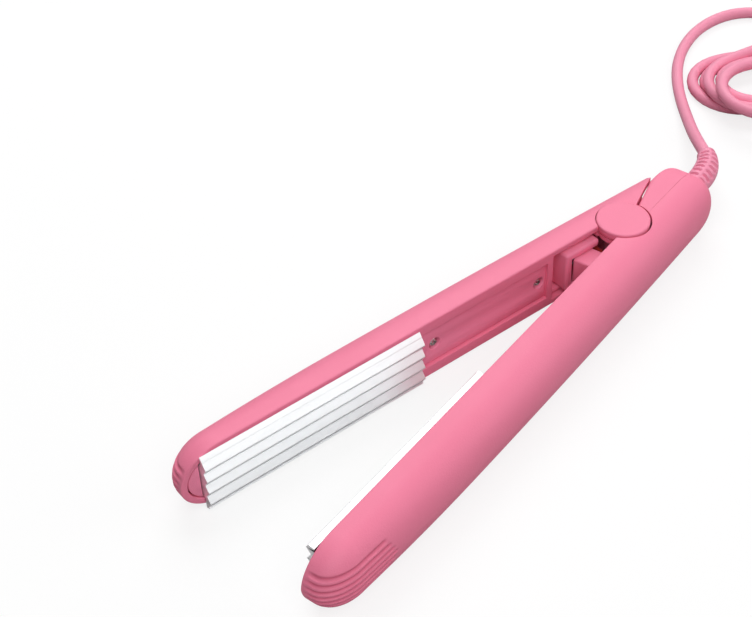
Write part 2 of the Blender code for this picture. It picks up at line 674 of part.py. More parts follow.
# ---- what heats: plates, heaters, pads and leaf springs ------------------------------------------
def plate_profile(first_is_peak):
    """The corrugated plate's section (v, w): a zigzag face on a flat back with a spine."""
    half, run = PLATE_HALF, TOOTH_PITCH / 2
    start = -TOOTH_DEPTH / 2 if first_is_peak else TOOTH_DEPTH / 2
    face = [(PLATE_MID_V + start, half)]
    for i in range(int((FIRST_FOLD_W + half) / run) + 1):
        start_or_other = start if i % 2 == 0 else -start
        face.append((PLATE_MID_V + start_or_other, FIRST_FOLD_W - i * run))
    share = (face[-1][1] + half) / run
    face.append((face[-1][0] + 2 * (PLATE_MID_V - face[-1][0]) * share, -half))
    back = [(PLATE_BACK_V, -half), (PLATE_BACK_V, -SPINE_HALF), (PLATE_BACK_V + SPINE_DEPTH, -SPINE_HALF),
            (PLATE_BACK_V + SPINE_DEPTH, SPINE_HALF), (PLATE_BACK_V, SPINE_HALF), (PLATE_BACK_V, half)]
    return face + back


def make_heating(arm, tag, first_is_peak):
    flat_shape(f"{tag}_plate", arm, plate_profile(first_is_peak), "u", PLATE_REAR_U,
               PLATE_REAR_U + PLATE_LENGTH, PLATE_METAL)
    middle = PLATE_REAR_U + PLATE_LENGTH / 2
    low, high = HEATER_REAR_U, HEATER_FRONT_U
    v = PLATE_BACK_V + SPINE_DEPTH + GAP
    box(f"{tag}_heater", arm, (low, v, -HEATER_HALF), (high, v + HEATER_THICKNESS, HEATER_HALF),
        HEATER_CERAMIC)
    v += HEATER_THICKNESS + GAP
    box(f"{tag}_heater_pad", arm, (low, v, -HEATER_HALF), (high, v + PAD_THICKNESS, HEATER_HALF),
        WHITE_INSULATION)
    v += PAD_THICKNESS + GAP
    top = back_v(middle) - WALL - GAP - 1.35
    bow = []
    steps = 12
    for i in range(steps + 1):
        t = i / steps
        rise = (top - LEAF_THICKNESS - v) * math.sin(math.pi * t) ** 2
        bow.append((middle + LEAF_LENGTH * (t - 0.5), v + rise))
    outline = bow + [(u, low_v + LEAF_THICKNESS) for u, low_v in reversed(bow)]
    flat_shape(f"{tag}_leaf_spring", arm, outline, "w", -LEAF_HALF, LEAF_HALF, PLAIN_STEEL)


def make_screw(name, arm, u, seat_v, w, length, look=PLAIN_STEEL):
    """A small pan-head screw with a cross recess, its head facing the shut tool's middle."""
    head = rod(name, arm, (u, seat_v - SCREW_HEAD_THICKNESS - 0.25, w), (u, seat_v - 0.25, w),
               SCREW_HEAD_RADIUS * 0.86, look, end_radius=SCREW_HEAD_RADIUS, sides=24)
    shank = rod(f"{name}_shank", arm, (u, seat_v - 0.6, w), (u, seat_v + length - GAP, w), SCREW_SHANK_RADIUS,
                sides=12)
    join(head, shank)
    for long_u, long_w in ((1.0, 0.22), (0.22, 1.0)):
        slot = box(f"{name}_slot_{long_u}", arm, (u - long_u, seat_v - 3, w - long_w),
                   (u + long_u, seat_v - SCREW_HEAD_THICKNESS + 0.25, w + long_w))
        cut(head, slot)
    return head


# ---- the hinge ------------------------------------------------------------------------------------
def make_hinge():
    for side, place in ((1, "top"), (-1, "bottom")):
        outer = side * MIDDLE_Z
        inner = side * (MIDDLE_Z - CAP_THICKNESS)
        cap = rod(f"hinge_cap_{place}", PLATE_ARM, (0, 0, inner), (0, 0, outer), CAP_RADIUS, SHELL_PLASTIC,
                  sides=64)
        edge = cap.modifiers.new("edge", "BEVEL")
        edge.width = 0.35 * MM
        edge.segments = 2
        edge.limit_method = "ANGLE"
        cavity = rod(f"cap_cavity_{place}", PLATE_ARM, (0, 0, side * (SEAT_W - 1)),
                     (0, 0, side * (SEAT_W + GAP + AXLE_HEAD_THICKNESS + GAP)), AXLE_HEAD_RADIUS + GAP)
        cut(cap, cavity)
        washer_inner = side * (BARREL_HALF + GAP)
        washer_outer = side * (BARREL_HALF + GAP + WASHER_THICKNESS)
        washer = rod(f"hinge_washer_{place}", CORD_ARM, (0, 0, washer_inner), (0, 0, washer_outer),
                     WASHER_RADIUS, PLAIN_STEEL, sides=32)
        cut(washer, rod(f"washer_bore_{place}", CORD_ARM, (0, 0, side * 4), (0, 0, side * 8),
                        AXLE_RADIUS + GAP))
    head_w = SEAT_W + GAP
    axle = rod("hinge_axle", CORD_ARM, (0, 0, -head_w - AXLE_HEAD_THICKNESS), (0, 0, -head_w),
               AXLE_HEAD_RADIUS, PLAIN_STEEL)
    join(axle, rod("axle_shank", CORD_ARM, (0, 0, -head_w - AXLE_HEAD_THICKNESS / 2),
                   (0, 0, head_w + AXLE_HEAD_THICKNESS), AXLE_RADIUS))
    clip = rod("axle_clip", CORD_ARM, (0, 0, head_w), (0, 0, head_w + AXLE_HEAD_THICKNESS), AXLE_HEAD_RADIUS,
               PLAIN_STEEL)
    cut(clip, rod("clip_bore", CORD_ARM, (0, 0, head_w - 1), (0, 0, head_w + 2), AXLE_RADIUS + GAP))


def make_jaw_spring():
    """The coil spring between the block's floor and the socket's floor."""
    u = (BLOCK_U[0] + BLOCK_U[1]) / 2
    turned = math.radians(OPEN_ANGLE)
    start = -(BLOCK_FLOOR_V - GAP - SPRING_WIRE / 2)
    floor = (SOCKET_FLOOR_V + u * math.sin(turned)) / math.cos(turned)
    end = floor - (SPRING_RADIUS + SPRING_WIRE) * math.tan(turned) - GAP - SPRING_WIRE / 2
    per_turn = 10
    count = SPRING_TURNS * per_turn
    points = []
    for i in range(count + 1):
        angle = 2 * math.pi * i / per_turn
        points.append((u + SPRING_RADIUS * math.cos(angle), -(start + (end - start) * i / count),
                       SPRING_RADIUS * math.sin(angle)))
    tube("jaw_spring", CORD_ARM, points, SPRING_WIRE / 2, PLAIN_STEEL)


# ---- wiring inside the arms -----------------------------------------------------------------------
def make_wiring():
    dive = [(HEATER_REAR_U - 8.3, 7.3, 4.2), (HEATER_REAR_U - 3.8, 5.5, 3.4), (HEATER_REAR_U - GAP, 5.0, 3.2)]
    rise = [(HEATER_REAR_U - 13.3, WIRE_V, WIRE_W)] + dive
    entry_u = -RELIEF_START_X + SHEATH_LENGTH + 2 * GAP
    rear = [(entry_u, PARTING_V, 0.8), (0.75 * entry_u, 6.0, 2.0), (0.4 * entry_u, 7.6, 3.6),
            (0, WIRE_V, WIRE_W), (20, WIRE_V, WIRE_W)]
    tube("live_lead_rear", CORD_ARM, rear + [(FUSE_U - GAP, WIRE_V, WIRE_W)], WIRE_RADIUS, RED_INSULATION, 3)
    tube("live_lead_front", CORD_ARM, [(FUSE_U + FUSE_LENGTH + GAP, WIRE_V, WIRE_W)] + rise, WIRE_RADIUS,
         RED_INSULATION, 3)
    rod("thermal_fuse", CORD_ARM, (FUSE_U, WIRE_V, WIRE_W), (FUSE_U + FUSE_LENGTH, WIRE_V, WIRE_W),
        FUSE_RADIUS, PLAIN_STEEL, sides=16)
    under = [(u, v, -w) for u, v, w in rear + rise]
    tube("neutral_lead", CORD_ARM, under, WIRE_RADIUS, WHITE_INSULATION, 3)
    for side, tag, look in ((1, "live", RED_INSULATION), (-1, "neutral", WHITE_INSULATION)):
        crossing = [(-2.0, 6.9, side * 2.0), (3.5, 7.6, side * 2.0), (7.3, 5.0, side * 1.7),
                    (7.4, 0.0, side * 1.5), (6.3, -5.0, side * 1.5), (4.03, -9.67, side * 1.8),
                    (3.63, -11.95, side * 2.1), (4.25, -12.73, side * 2.3), (5.37, -13.19, side * 2.45)]
        tube(f"{tag}_link_wire", CORD_ARM, crossing, WIRE_RADIUS, look, 3)
        inner = [(8.9, 11.35, side * 2.5), (18, 11.3, side * 3.2), (29, 11.2, side * 3.7),
                 (HEATER_REAR_U - 23.3, 10.8, side * 4.0), (HEATER_REAR_U - 13.3, 9.2, side * 4.4)]
        inner += [(u, v, side * w) for u, v, w in dive]
        tube(f"plate_arm_{tag}_lead", PLATE_ARM, inner, WIRE_RADIUS, look, 3)


# ---- the cord's way in ------------------------------------------------------------------------------
def relief_line(length):
    """The boot's centre line: straight in the tail, then bent. Returns a point and its heading."""
    straight = TAIL_X - RELIEF_START_X + RELIEF_STRAIGHT
    if length <= straight:
        return Vector((RELIEF_START_X + length, -PARTING_V, 0)), 0.0
    total = RELIEF_OUTSIDE - RELIEF_STRAIGHT
    radius = total / math.radians(RELIEF_TURN)
    heading = (length - straight) / radius
    return Vector((RELIEF_START_X + straight + radius * math.sin(heading),
                   -PARTING_V + radius * (1 - math.cos(heading)), 0)), heading


def make_strain_relief():
    """The ribbed boot: a flange inside the tail, a plain neck, then rings that get smaller."""
    stations = [(0, RELIEF_RADIUS - 0.4), (1.0, RELIEF_RADIUS - 0.4), (1.0, RELIEF_FLANGE_RADIUS),
                (1.0 + RELIEF_FLANGE, RELIEF_FLANGE_RADIUS), (1.0 + RELIEF_FLANGE, RELIEF_RADIUS),
                (RELIEF_INSIDE + 0.9, RELIEF_RADIUS)]
    ribbed = RELIEF_OUTSIDE - 0.9
    pitch = ribbed / RELIEF_RIBS
    for i in range(RELIEF_RIBS):
        start = RELIEF_INSIDE + 0.9 + i * pitch
        full = RELIEF_RADIUS + (RELIEF_END_RADIUS - RELIEF_RADIUS) * (i + 1) / RELIEF_RIBS
        stations += [(start, full - RELIEF_RIB_DEPTH), (start + 0.38 * pitch, full - RELIEF_RIB_DEPTH),
                     (start + 0.38 * pitch, full), (start + pitch, full)]
    sides = 18
    rings = []
    for length, radius in stations:
        centre, heading = relief_line(length)
        across = Vector((-math.sin(heading), math.cos(heading), 0))
        up = Vector((0, 0, 1))
        rings.append([(centre + radius * (math.cos(a) * across + math.sin(a) * up)) * MM
                      for a in (2 * math.pi * k / sides for k in range(sides))])
    bm = bmesh.new()
    loft(bm, rings, closed_ring=True, cap_first=True, cap_last=True)
    return finish("strain_relief", mesh_from(bm, "strain_relief"), CORD_ARM, CORD_PLASTIC)


def make_cord_entry():
    start = -RELIEF_START_X + GAP
    rod("inner_sheath", CORD_ARM, (start, PARTING_V, 0), (start + SHEATH_LENGTH, PARTING_V, 0), SHEATH_RADIUS,
        CORD_PLASTIC, sides=16)
    bar = box("cord_clamp", CORD_ARM,
              (-CLAMP_X - CLAMP_LENGTH / 2, CLAMP_BAR_V - CLAMP_THICKNESS, -CLAMP_HALF),
              (-CLAMP_X + CLAMP_LENGTH / 2, CLAMP_BAR_V, CLAMP_HALF), DARK_PLASTIC)
    for side, place in ((1, "upper"), (-1, "lower")):
        cut(bar, rod(f"clamp_hole_{place}", CORD_ARM, (-CLAMP_X, -3, side * CLAMP_SCREW_W),
                     (-CLAMP_X, 6, side * CLAMP_SCREW_W), SCREW_SHANK_RADIUS + GAP, sides=12))
        make_screw(f"clamp_screw_{place}", CORD_ARM, -CLAMP_X, CLAMP_BAR_V - CLAMP_THICKNESS - 0.05,
                   side * CLAMP_SCREW_W, 6.4)


# ---- the cord, its coil and its plug ------------------------------------------------------------
def hank_outline(extra):
    """The band round all the folds, as a stretched string would lie, moved out by extra."""
    outline = []
    for step in range(48):
        angle = 2 * math.pi * step / 48
        out = (math.cos(angle), math.sin(angle))
        x, y, radius = max(HANK_FOLDS, key=lambda fold: fold[0] * out[0] + fold[1] * out[1] + fold[2])
        outline.append((-(x + (radius + extra) * out[0]), y + (radius + extra) * out[1]))
    return outline


def make_hank():
    """The folded rest of the cord as one flat block with round ends, in its tie."""
    hank = flat_shape("cord_hank", TABLE, hank_outline(0), "w", 0.05, HANK_HEIGHT, CORD_PLASTIC)
    edge = hank.modifiers.new("edge", "BEVEL")
    edge.width = HANK_EDGE * MM
    edge.segments = 2
    edge.limit_method = "ANGLE"
    tie = box("hank_tie", TABLE, (-TIE_WIDTH / 2, -40, 0.05),
              (TIE_WIDTH / 2, 40, HANK_HEIGHT + GAP + TIE_THICKNESS), DARK_PLASTIC)
    tie.location = Vector((*TIE_AT, 0)) * MM
    tie.rotation_euler = (0, 0, math.radians(TIE_ANGLE))
    modifier(tie, "BOOLEAN", flat_shape("tie_outer", TABLE, hank_outline(GAP + TIE_THICKNESS), "w", -5, 20),
             "INTERSECT")
    cut(tie, flat_shape("tie_inside", TABLE, hank_outline(GAP), "w", -6, HANK_HEIGHT + GAP))


def make_cord():
    def on_table(route):
        return [(-x, y, z) for x, y, z in route]

    tube("power_cord", TABLE, on_table(CORD_ROUTE), CORD_RADIUS, CORD_PLASTIC, 2)
    tube("plug_lead", TABLE, on_table(LEAD_ROUTE), CORD_RADIUS, CORD_PLASTIC, 2)


def make_plug():
    body = box("plug_body", TABLE, (-PLUG_FRONT_X - PLUG_LENGTH, PLUG_Y - PLUG_HALF, 0.05),
               (-PLUG_FRONT_X, PLUG_Y + PLUG_HALF, PLUG_HEIGHT), CORD_PLASTIC)
    edge = body.modifiers.new("edge", "BEVEL")
    edge.width = 3.0 * MM
    edge.segments = 3
    for side, place in ((1, "a"), (-1, "b")):
        y = PLUG_Y + side * BLADE_SPACING / 2
        box(f"plug_blade_{place}", TABLE,
            (-PLUG_FRONT_X + GAP, y - BLADE_THICKNESS / 2, PLUG_HEIGHT / 2 - BLADE_WIDTH / 2),
            (-PLUG_FRONT_X + BLADE_LENGTH, y + BLADE_THICKNESS / 2, PLUG_HEIGHT / 2 + BLADE_WIDTH / 2),
            BLADE_BRASS)


make_cord_arm_shell()
make_plate_arm_shell()
make_tail_cover()
make_cord_arm_cover()
make_plate_arm_cover()
make_heating(CORD_ARM, "cord_arm", True)
make_heating(PLATE_ARM, "plate_arm", False)
for arm, tag in ((CORD_ARM, "cord_arm"), (PLATE_ARM, "plate_arm")):
    for place, u in zip(("rear", "front"), SCREW_U):
        make_screw(f"{tag}_screw_{place}", arm, u, SCREW_SEAT_V, 0, SCREW_LENGTH)
make_hinge()
make_jaw_spring()
make_wiring()
make_strain_relief()
make_cord_entry()
make_cord()
make_hank()
make_plug()
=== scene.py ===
# %% [markdown]
# # Dressing a mini hair crimper
#
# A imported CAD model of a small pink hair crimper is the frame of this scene. Each cell below
# makes one piece or one finish of the real tool and hangs it on the CAD body that carries it, so
# the visible model opens and shuts exactly as the frame does. The tool lies on its side on a
# white table, its jaws sprung open, with its cord led away to the right.

# %% Load the frame and keep its box
import math

import bmesh
import bpy
import numpy as np
from mathutils import Matrix, Vector


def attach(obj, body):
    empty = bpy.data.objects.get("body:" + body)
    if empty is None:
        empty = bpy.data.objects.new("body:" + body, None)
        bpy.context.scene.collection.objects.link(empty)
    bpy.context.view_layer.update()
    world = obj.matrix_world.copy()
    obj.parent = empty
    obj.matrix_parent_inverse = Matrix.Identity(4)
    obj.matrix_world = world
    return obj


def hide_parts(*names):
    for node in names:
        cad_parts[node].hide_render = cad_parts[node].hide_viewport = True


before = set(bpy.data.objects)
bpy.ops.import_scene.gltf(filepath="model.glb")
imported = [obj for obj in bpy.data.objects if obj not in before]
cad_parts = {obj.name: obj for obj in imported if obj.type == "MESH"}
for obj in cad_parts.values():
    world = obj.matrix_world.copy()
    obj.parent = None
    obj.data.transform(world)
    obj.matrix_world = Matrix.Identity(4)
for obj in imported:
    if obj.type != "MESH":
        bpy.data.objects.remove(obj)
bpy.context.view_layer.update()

# %% [markdown]
# ## Camera
# The photograph was taken from above and from the tip side, with a fairly long lens. A fitted
# camera is only a place, a looking direction, an up direction and a focal length. Writing the
# rotation as three axes keeps it free of turning orders.

# %% Camera
lens = bpy.data.cameras.new("photo_camera")
lens.lens, lens.sensor_width = 74.65, 36.0
lens.clip_start, lens.clip_end = 0.01, 20.0
forward = Vector((0.56900, 0.46270, -0.67981)).normalized()
right = forward.cross(Vector((0.55748, 0.39068, 0.73252))).normalized()
rows = (right, right.cross(forward), -forward)
camera = bpy.data.objects.new("photo_camera", lens)
camera.matrix_world = (Matrix.Translation((-0.31008, -0.15972, 0.30685))
                       @ Matrix(rows).transposed().to_4x4())
bpy.context.scene.collection.objects.link(camera)
bpy.context.scene.camera = camera
print("camera at", [round(c, 3) for c in camera.matrix_world.translation], "lens", lens.lens)

# %% [markdown]
# ## Node helpers
# Finishes and rule-following shapes are small node trees. An input gets either a value or another
# node's output, so one helper feeds both, and a node can be made with all its inputs at once.
# Groups take named sizes. The same helpers serve shaders and Geometry Nodes.

# %% Node helpers
def feed(tree, socket, value):
    """Give an input a value, or join it to another node's output."""
    if isinstance(value, bpy.types.NodeSocket):
        tree.links.new(value, socket)
    else:
        socket.default_value = value


def add_node(tree, kind, inputs=(), **settings):
    """A node with its settings and its inputs."""
    node = tree.nodes.new(kind)
    for name, value in settings.items():
        setattr(node, name, value)
    for name, value in dict(inputs).items():
        feed(tree, node.inputs[name], value)
    return node


def in_order(tree, node, values):
    """Feed a node's inputs in their order and give its first output."""
    for socket, value in zip(node.inputs, values):
        feed(tree, socket, value)
    return node.outputs[0]


def calc(tree, operation, *values):
    return in_order(tree, add_node(tree, "ShaderNodeMath", operation=operation), values)


def vector(tree, *values):
    return in_order(tree, add_node(tree, "ShaderNodeCombineXYZ"), values)


def new_group(kind, name, sizes, outputs):
    """An empty Shader or Geometry group, its sizes and its outputs; None stands for a material."""
    tree = bpy.data.node_groups.new(name, kind + "NodeTree")

    def socket(label, side, sort):
        return tree.interface.new_socket(label, in_out=side, socket_type="NodeSocket" + sort)

    if kind == "Geometry":
        socket("Geometry", "INPUT", "Geometry")
    for label, value in sizes.items():
        if value is None:
            socket(label, "INPUT", "Material")
        else:
            socket(label, "INPUT", type(value).__name__.capitalize()).default_value = value
    for label in outputs:
        socket(label, "OUTPUT", "Geometry" if kind == "Geometry" else "Float")
    return tree, add_node(tree, "NodeGroupInput").outputs, add_node(tree, "NodeGroupOutput").inputs


def object_place(tree):
    return add_node(tree, "ShaderNodeTexCoord").outputs["Object"]


print("node helpers ready")

# %% [markdown]
# ## What moulded plastic looks like up close
# The tool's shells come out of a spark-eroded mould, which leaves a fine even grain. The pink is
# mixed into the plastic, and still varies a little where the melt cooled at different speeds. A
# single group gives both: a height for a Bump node, and a slow mottling that leans the colour.

# %% Group: moulded grain
tree, size, out = new_group("Shader", "moulded_grain",
                            {"Grain Size": 0.00045, "Mottle Size": 0.02}, ("Height", "Mottle"))
place = object_place(tree)
for label, result, detail, rough in (("Grain Size", "Height", 2.0, 0.6),
                                     ("Mottle Size", "Mottle", 3.0, 0.5)):
    noise = add_node(tree, "ShaderNodeTexNoise", {
        "Vector": place, "Scale": calc(tree, "DIVIDE", 1.0, size[label]),
        "Detail": detail, "Roughness": rough})
    feed(tree, out[result], noise.outputs["Fac"])
MOULDED_GRAIN = tree
print("group", MOULDED_GRAIN.name, "with", len(MOULDED_GRAIN.nodes), "nodes")

# %% [markdown]
# ## Handling marks
# Hands and drawers leave short rubbed streaks and a few dull spots on soft plastic. They show
# only in the gloss. A stretched noise gives the streaks, and a sharp threshold keeps most of the
# surface clean.

# %% Group: handling marks
tree, size, out = new_group("Shader", "handling_marks",
                            {"Streak Size": 0.012, "Amount": 0.4}, ("Mask",))
stretch = add_node(tree, "ShaderNodeMapping", {
    "Vector": object_place(tree), "Rotation": (0.3, 0.1, 0.7), "Scale": (0.35, 3.0, 2.2)})
noise = add_node(tree, "ShaderNodeTexNoise", {
    "Vector": stretch.outputs["Vector"], "Detail": 4.0, "Roughness": 0.65,
    "Scale": calc(tree, "DIVIDE", 1.0, size["Streak Size"])})
keep = add_node(tree, "ShaderNodeMapRange", {
    "Value": noise.outputs["Fac"], "From Min": 0.52, "From Max": 0.74})
feed(tree, out["Mask"], calc(tree, "MULTIPLY", keep.outputs["Result"], size["Amount"]))
HANDLING_MARKS = tree
print("group", HANDLING_MARKS.name, "with", len(HANDLING_MARKS.nodes), "nodes")

# %% [markdown]
# ## Plastics
# One recipe serves the shells, the inner covers, the cord and the chalky or sleeved parts inside:
# a base colour, a slightly deeper one where the mottle is strong, a rougher gloss in the marks
# and the grain as bump. Only the numbers change, so they stand in a table.

# %% Plastic finishes
def new_material(name, colour, roughness, metallic=0.0, specular=0.5):
    """A material with its Principled BSDF set to plain values."""
    material = bpy.data.materials.new(name)
    material.use_nodes = True
    shader = material.node_tree.nodes["Principled BSDF"]
    for label, value in (("Base Color", (*colour, 1)), ("Roughness", roughness),
                         ("Metallic", metallic), ("Specular IOR Level", specular)):
        shader.inputs[label].default_value = value
    material.diffuse_color = (*colour, 1)
    return material, material.node_tree, shader.inputs


def add_relief(tree, shader, mask, window, roughness, height, distance):
    """A mask leans the gloss between two values, and a height raises the surface."""
    gloss = add_node(tree, "ShaderNodeMapRange", {
        "Value": mask, "From Min": window[0], "From Max": window[1],
        "To Min": roughness[0], "To Max": roughness[1]})
    bump = add_node(tree, "ShaderNodeBump", {"Height": height, "Distance": distance})
    feed(tree, shader["Roughness"], gloss.outputs["Result"])
    feed(tree, shader["Normal"], bump.outputs["Normal"])


def moulded_plastic(name, colour, deeper, roughness, grain_size, grain_height, marks):
    material, tree, shader = new_material(name, colour, roughness, specular=0.28)
    grain = add_node(tree, "ShaderNodeGroup", {"Grain Size": grain_size, "Mottle Size": 0.018},
                     node_tree=MOULDED_GRAIN).outputs
    mark = add_node(tree, "ShaderNodeGroup", {"Streak Size": 0.010, "Amount": marks},
                    node_tree=HANDLING_MARKS).outputs
    tint = add_node(tree, "ShaderNodeMix", {
        "Factor": grain["Mottle"], "A": (*colour, 1), "B": (*deeper, 1)}, data_type="RGBA")
    feed(tree, shader["Base Color"], tint.outputs["Result"])
    add_relief(tree, shader, mark["Mask"], (0.0, 1.0), (roughness, min(roughness + 0.22, 1)),
               grain["Height"], grain_height)
    return material


# name: colour, deeper colour, roughness, grain size and height in metres, share of marks
PLASTICS = {
    "shell_pink": ((0.91, 0.240, 0.375), (0.87, 0.215, 0.340), 0.50, 0.00042, 0.00006, 0.5),
    # Painted light: the inner covers' pink is set lighter than the shells', standing in for the
    # light that fills the open jaws.
    "cover_pink_painted_light": ((0.95, 0.275, 0.425), (0.91, 0.245, 0.385), 0.56, 0.00035, 0.00005, 0.3),
    "cord_pink": ((0.88, 0.315, 0.45), (0.83, 0.275, 0.405), 0.42, 0.0006, 0.00003, 0.6),
    "dark_strap": ((0.045, 0.045, 0.05), (0.03, 0.03, 0.034), 0.55, 0.0005, 0.00005, 0.5),
    "heater_ceramic": ((0.80, 0.78, 0.72), (0.70, 0.67, 0.60), 0.75, 0.0008, 0.00008, 0.3),
    "mineral_paper": ((0.78, 0.76, 0.70), (0.66, 0.62, 0.54), 0.85, 0.0011, 0.00012, 0.2),
    "red_sleeve": ((0.55, 0.045, 0.035), (0.42, 0.03, 0.025), 0.45, 0.0007, 0.00003, 0.4),
    "white_sleeve": ((0.80, 0.80, 0.77), (0.70, 0.69, 0.65), 0.45, 0.0007, 0.00003, 0.4),
}
SHELL_PINK, COVER_PINK_PAINTED_LIGHT, CORD_PINK, DARK_STRAP, CERAMIC, MINERAL_PAPER, RED_SLEEVE, WHITE_SLEEVE = (
    moulded_plastic(name, *row) for name, row in PLASTICS.items())
print("plastics:", ", ".join(PLASTICS))


# %% Painted shade: a deeper pink where an attribute says so
def stain(material, attribute, colour, amount):
    """Lean a material's colour towards another one where the mesh attribute says so."""
    tree = material.node_tree
    target = tree.nodes["Principled BSDF"].inputs["Base Color"]
    where = add_node(tree, "ShaderNodeAttribute", attribute_name=attribute).outputs["Fac"]
    mix = add_node(tree, "ShaderNodeMix", {
        "Factor": calc(tree, "MULTIPLY", where, amount), "A": target.links[0].from_socket,
        "B": (*colour, 1)}, data_type="RGBA")
    feed(tree, target, mix.outputs["Result"])


# Painted shade: the bottoms of the grip grooves are darkened towards a deep pink, where shade would
# lie.
stain(SHELL_PINK, "groove", (0.55, 0.085, 0.16), 0.6)
print("the grooves' bottoms are deeper in colour")

# %% [markdown]
# ## Metals
# The corrugated plates are satin aluminium, drawn through a die, so their fine lines run
# lengthwise. Noise stretched along one axis makes such lines, and a turn lays them along the open
# arm. Screws, axle and washers are turned steel, with short lines.

# %% Group: drawn lines
tree, size, out = new_group("Shader", "drawn_lines", {
    "Line Width": 0.0003, "Stretch": 60.0, "Turn": 0.0}, ("Lines",))
turned = add_node(tree, "ShaderNodeVectorRotate", {
    "Vector": object_place(tree), "Angle": size["Turn"]}, rotation_type="Z_AXIS").outputs[0]
x, y, z = add_node(tree, "ShaderNodeSeparateXYZ", {"Vector": turned}).outputs
noise = add_node(tree, "ShaderNodeTexNoise", {
    "Vector": vector(tree, calc(tree, "DIVIDE", x, size["Stretch"]), y, z),
    "Scale": calc(tree, "DIVIDE", 1.0, size["Line Width"]), "Detail": 3.0, "Roughness": 0.6})
feed(tree, out["Lines"], noise.outputs["Fac"])
DRAWN_LINES = tree
print("group", DRAWN_LINES.name, "with", len(DRAWN_LINES.nodes), "nodes")


# %% Metal finishes
def drawn_metal(name, colour, roughness, line_width, height, turn, stretch):
    material, tree, shader = new_material(name, colour, roughness, 1.0)
    lines = add_node(tree, "ShaderNodeGroup", {
        "Line Width": line_width, "Stretch": stretch, "Turn": turn},
        node_tree=DRAWN_LINES).outputs["Lines"]
    add_relief(tree, shader, lines, (0.3, 0.7), (roughness - 0.06, roughness + 0.10), lines, height)
    return material


OPEN_ANGLE = 15.0
OPEN_TURN = math.radians(OPEN_ANGLE)
SATIN_WHITE = (0.82, 0.835, 0.845)
# name: colour, roughness, line width and height in metres, turn, how long the lines are
METALS = {
    "plate_satin": (SATIN_WHITE, 0.44, 0.00022, 0.000008, 0.0, 60.0),
    "plate_satin_turned": (SATIN_WHITE, 0.44, 0.00022, 0.000008, OPEN_TURN, 60.0),
    "screw_steel": ((0.55, 0.53, 0.52), 0.24, 0.0004, 0.00001, 0.0, 3.0),
    "turned_steel": ((0.62, 0.62, 0.63), 0.24, 0.0004, 0.00001, 0.0, 3.0),
    "plug_brass": ((0.80, 0.62, 0.32), 0.26, 0.0003, 0.00001, 0.0, 60.0),
}
PLATE_SATIN, PLATE_SATIN_TURNED, SCREW_STEEL, TURNED_STEEL, BRASS = (
    drawn_metal(name, *row) for name, row in METALS.items())
print("metals:", ", ".join(METALS))

# %% [markdown]
# ## Table and light
# The photograph is a catalogue shot: a bright sheet, with a broad soft lamp on either side of the
# tool and a weak one on the right. The camera sees the sheet as lit paper that also glows a
# little, as an overexposed backdrop does, so only a faint part of the tool's shadow is left. To
# the light that bounces off it the sheet is plain grey, so the undersides stay as dark as they
# are in the picture, and the metal mirrors grey in its lower faces.

# %% Table
WHITE = (1, 1, 1, 1)


bpy.ops.mesh.primitive_plane_add(size=6, location=(0, 0, -0.0001))
sheet = bpy.context.object
sheet.name = "table_sheet"
material = bpy.data.materials.new("table_sheet")
material.use_nodes = True
tree = material.node_tree
tree.nodes.clear()
rays = add_node(tree, "ShaderNodeLightPath").outputs
grey = add_node(tree, "ShaderNodeBsdfDiffuse", {"Color": (0.50, 0.49, 0.49, 1)})
paper = add_node(tree, "ShaderNodeBsdfDiffuse", {"Color": WHITE})
glow = add_node(tree, "ShaderNodeEmission", {"Color": WHITE, "Strength": 1.0})
bright = add_node(tree, "ShaderNodeMixShader")
bright = in_order(tree, bright, (0.80, paper.outputs["BSDF"], glow.outputs["Emission"]))
either = add_node(tree, "ShaderNodeMixShader")
either = in_order(tree, either, (rays["Is Camera Ray"], grey.outputs["BSDF"], bright))
add_node(tree, "ShaderNodeOutputMaterial", {"Surface": either})
sheet.data.materials.append(material)
print("table sheet", [round(s, 2) for s in sheet.dimensions])


# %% Light
def make_sky(fill):
    """An even sky: white to the camera and to gloss, and a plain fill for everything else."""
    world = bpy.data.worlds.new("studio")
    bpy.context.scene.world = world
    world.use_nodes = True
    tree = world.node_tree
    tree.nodes.clear()
    rays = add_node(tree, "ShaderNodeLightPath").outputs
    seen = calc(tree, "MAXIMUM", rays["Is Camera Ray"], rays["Is Glossy Ray"])
    seen = calc(tree, "MAXIMUM", seen, rays["Is Transmission Ray"])
    strength = add_node(tree, "ShaderNodeMapRange", {"Value": seen, "To Min": fill, "To Max": 1.0})
    light = add_node(tree, "ShaderNodeBackground", {
        "Color": WHITE, "Strength": strength.outputs["Result"]})
    add_node(tree, "ShaderNodeOutputWorld", {"Surface": light.outputs[0]})


def add_softbox(name, place, size, power):
    """A square lamp that faces the tool."""
    data = bpy.data.lights.new(name, "AREA")
    data.shape, data.size, data.energy = "SQUARE", size, power
    lamp = bpy.data.objects.new(name, data)
    lamp.location = place
    lamp.rotation_euler = (-Vector(place)).to_track_quat("-Z", "Y").to_euler()
    bpy.context.scene.collection.objects.link(lamp)


make_sky(0.06)
add_softbox("back_softbox", (0.52, 0.44, 0.92), 0.9, 9.3)
add_softbox("front_softbox", (-0.78, -0.78, 1.55), 1.5, 21.0)
add_softbox("right_softbox", (1.20, -1.20, 0.84), 1.2, 7.6)

# %% [markdown]
# ## Sizes of the tool
# The pieces follow the same sizes as the CAD, in millimetres. Each arm is drawn as if the tool
# were shut, with u from the hinge to the tip, v from the middle of the tool out through the arm's
# back, and w up along the hinge axis. One small class turns such a point into its place on the
# table.

